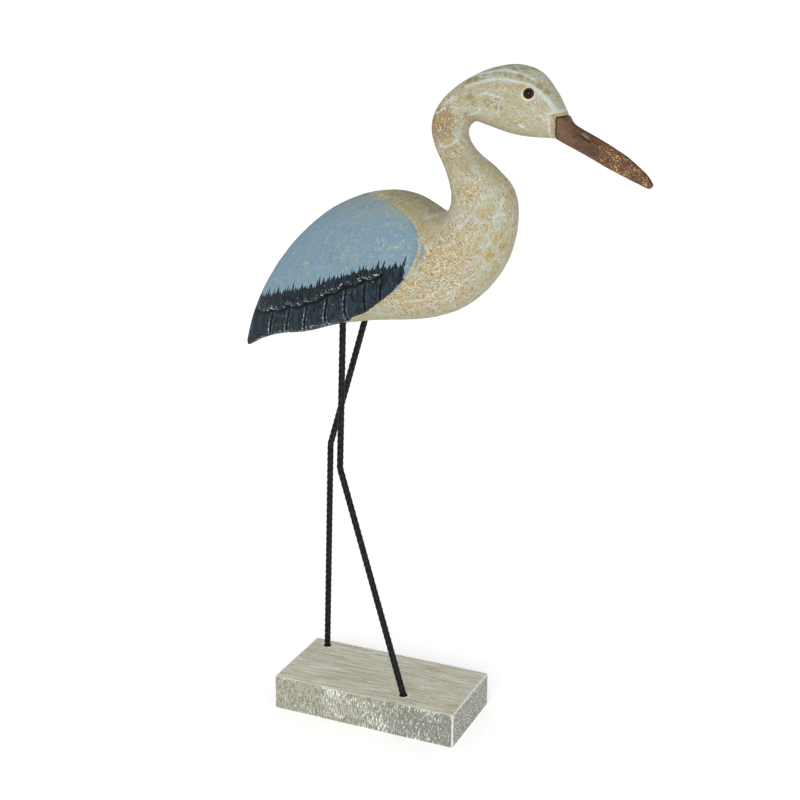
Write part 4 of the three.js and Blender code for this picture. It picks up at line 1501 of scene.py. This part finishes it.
def base_material():
    material, r, shader = new_material("weathered_board", 0.85, 0.2)
    place, foot_gap = r.place(), r.map("foot_gap")
    facing = r.parts(r.node("ShaderNodeNewGeometry").outputs["Normal"])
    at_end, on_top = (r.ease(r.math("ABSOLUTE", facing[axis]), 0.6, 0.8) for axis in (0, 2))
    fine = r.noise(place, 1.2, 3, 0.8)
    lines = r.drawn(place, (20.0, 0.7, 3.0), 4, 0.7, (0, 0, 1))
    crack = r.ease(r.drawn(place, (9, 0.4, 2), 2), 0.66, 0.71)
    sawn = r.drawn(place, (0.6, 0.6, 5.0), angle=(0, 4, 0))
    patches = r.drawn(place, (24.0, 20.0, 9.0), 2, angle=(0, 30, 0))
    wash = side_wash(r, place, patches)
    top = board_top(r, place, fine, lines, crack)
    sides = board_sides(r, place, fine, sawn, wash, at_end)
    front_corner = r.ease(r.parts(place)[0], 63.5, 65.5)
    where = r.most(front_corner, r.times(r.ease(patches, 0.55, 0.68), 0.6))
    worn = r.times(r.map("edge_worn"), where, r.ease(r.noise(place, 0.7, 2, 0.7), 0.32, 0.46), 0.9)
    chipped = r.times(r.ease(foot_gap, 2.8, 1.4), r.ease(r.noise(place, 0.35, 2, 0.6), 0.42, 0.5))
    colour = r.coats(
        sides,
        (on_top, top),
        (worn, (224, 228, 222)),
        (r.times(chipped, 0.85), (236, 231, 212)),
        (r.times(r.ease(foot_gap, 0.7, 0.1), 0.8), (60, 54, 44)),
    )
    r.feed(shader, Base_Color=colour, Roughness=r.ease(sawn, 0.3, 0.7, 0.78, 0.92))
    height = r.mix_value(on_top, r.plus(sawn, wash), r.math("SUBTRACT", lines, crack))
    raise_surface(r, shader, height, 0.35, 0.9)
    return material


def cut_wood_material():
    material, r, shader = new_material("cut_wood", 0.8, 0.2)
    place = r.place()
    grain = r.group(GRAIN, Place=place, Width=0.8, Length=5.0)
    wood = r.blend(grain["Streak"], 0.4, 0.6, (150, 128, 88), (186, 172, 132))
    chip = r.ease(r.noise(place, 1.0, 3, 0.7), 0.55, 0.62)
    r.feed(shader, Base_Color=r.mix(chip, wood, (196, 194, 178)))
    return material


def floor_material():
    """Pale floor that also glows faintly, so that it comes out white."""
    material, r, shader = new_material("pale_studio_floor", 0.9, 0.1)
    r.feed(shader, Base_Color=(0.97, 0.97, 0.97, 1), Emission_Color=(1, 1, 1, 1), Emission_Strength=0.3)
    return material


# Assembly


def dress(piece, node):
    """Smooths the piece's shading, hangs it under the root and hides the CAD part that it stands for."""
    take(piece)
    bpy.ops.object.shade_smooth_by_angle(angle=math.radians(SMOOTH_ANGLE))
    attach(piece, "root")
    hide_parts(node)


def coat_with(piece, material):
    piece.data.materials.append(material)
    return piece


lines = {name: leg_line(*points) for name, points in LEGS.items()}
socket_lines = [leg_line(*points, extra=FIT_GAP) for points in LEGS.values()]

bird = coat_with(carve_bird(), bird_material())
cut_wood = cut_wood_material()
eye_sockets = [eye_socket_block(side) for side in (-1, 1)]
belly_sockets = [leg_socket_block(*line[-2:]) for line in socket_lines]
cut_out(bird, [coat_with(block, cut_wood) for block in (notch_block(), *eye_sockets, *belly_sockets)])
map_the_paint(bird)
dress(bird, "carved_body")

bill = coat_with(carve_bill(), bill_material())
dress(bill, "bill")

bead_gloss = bead_material()
for name, side in (("eye_right", -1), ("eye_left", 1)):
    bead = coat_with(turn_bead(name.replace("eye", "bead"), side), bead_gloss)
    dress(bead, name)

bar_paint = bar_material()
for name, line in lines.items():
    bar = coat_with(ribbed_bar(name.replace("leg", "ribbed_bar"), line), bar_paint)
    dress(bar, name)

base = coat_with(saw_base(), base_material())
cut_out(base, [leg_socket_block(*line[:2]) for line in socket_lines])
dress(base, "base")


# Floor, light and camera


def lay_floor():
    floor = start_from(bpy.ops.mesh.primitive_plane_add, "pale_floor", size=FLOOR_SIZE)
    coat_with(floor, floor_material())


def add_lamp(name, place, softness, power):
    """A broad soft lamp shining from that direction onto the bird and the floor alike."""
    lamp = bpy.data.lights.new(name, "SUN")
    lamp.energy, lamp.angle = power, math.radians(softness)
    holder = bpy.data.objects.new(name, lamp)
    bpy.context.scene.collection.objects.link(holder)
    holder.location = place
    holder.rotation_euler = (-Vector(place)).to_track_quat("-Z", "Y").to_euler()


def light_the_room():
    """White walls and a dimmer ceiling."""
    room = bpy.data.worlds.new("studio")
    bpy.context.scene.world = room
    room.use_nodes = True
    r = Recipe(room.node_tree)
    high = r.parts(r.node("ShaderNodeTexCoord").outputs["Generated"])[2]
    background = room.node_tree.nodes["Background"]
    r.feed(background, Color=(1, 1, 1, 1), Strength=r.ease(high, 0.1, 0.9, 0.95, 0.5))


def set_camera():
    turn, tilt = math.radians(CAMERA_TURN), math.radians(CAMERA_TILT)
    right = Vector((math.cos(turn), math.sin(turn), 0))
    ahead = Vector((-math.sin(turn) * math.cos(tilt), math.cos(turn) * math.cos(tilt), -math.sin(tilt)))
    lens = bpy.data.cameras.new("studio_camera")
    lens.sensor_width = FILM_WIDTH
    lens.lens = FILM_WIDTH * FOCAL_PIXELS / PICTURE_PIXELS
    lens.clip_start, lens.clip_end = 0.05, 30
    camera = bpy.data.objects.new("studio_camera", lens)
    bpy.context.scene.collection.objects.link(camera)
    turned = Matrix((right, right.cross(ahead), -ahead)).transposed().to_4x4()
    camera.matrix_world = Matrix.Translation(CAMERA_PLACE) @ turned
    bpy.context.scene.camera = camera


bpy.context.scene.view_settings.view_transform = "Standard"
lay_floor()
add_lamp("front_light", (0.35, -2.0, 0.7), 30, 1.15)
add_lamp("catch_light", (0.44, -0.9, 0.42), 9, 0.4)
light_the_room()
set_camera()
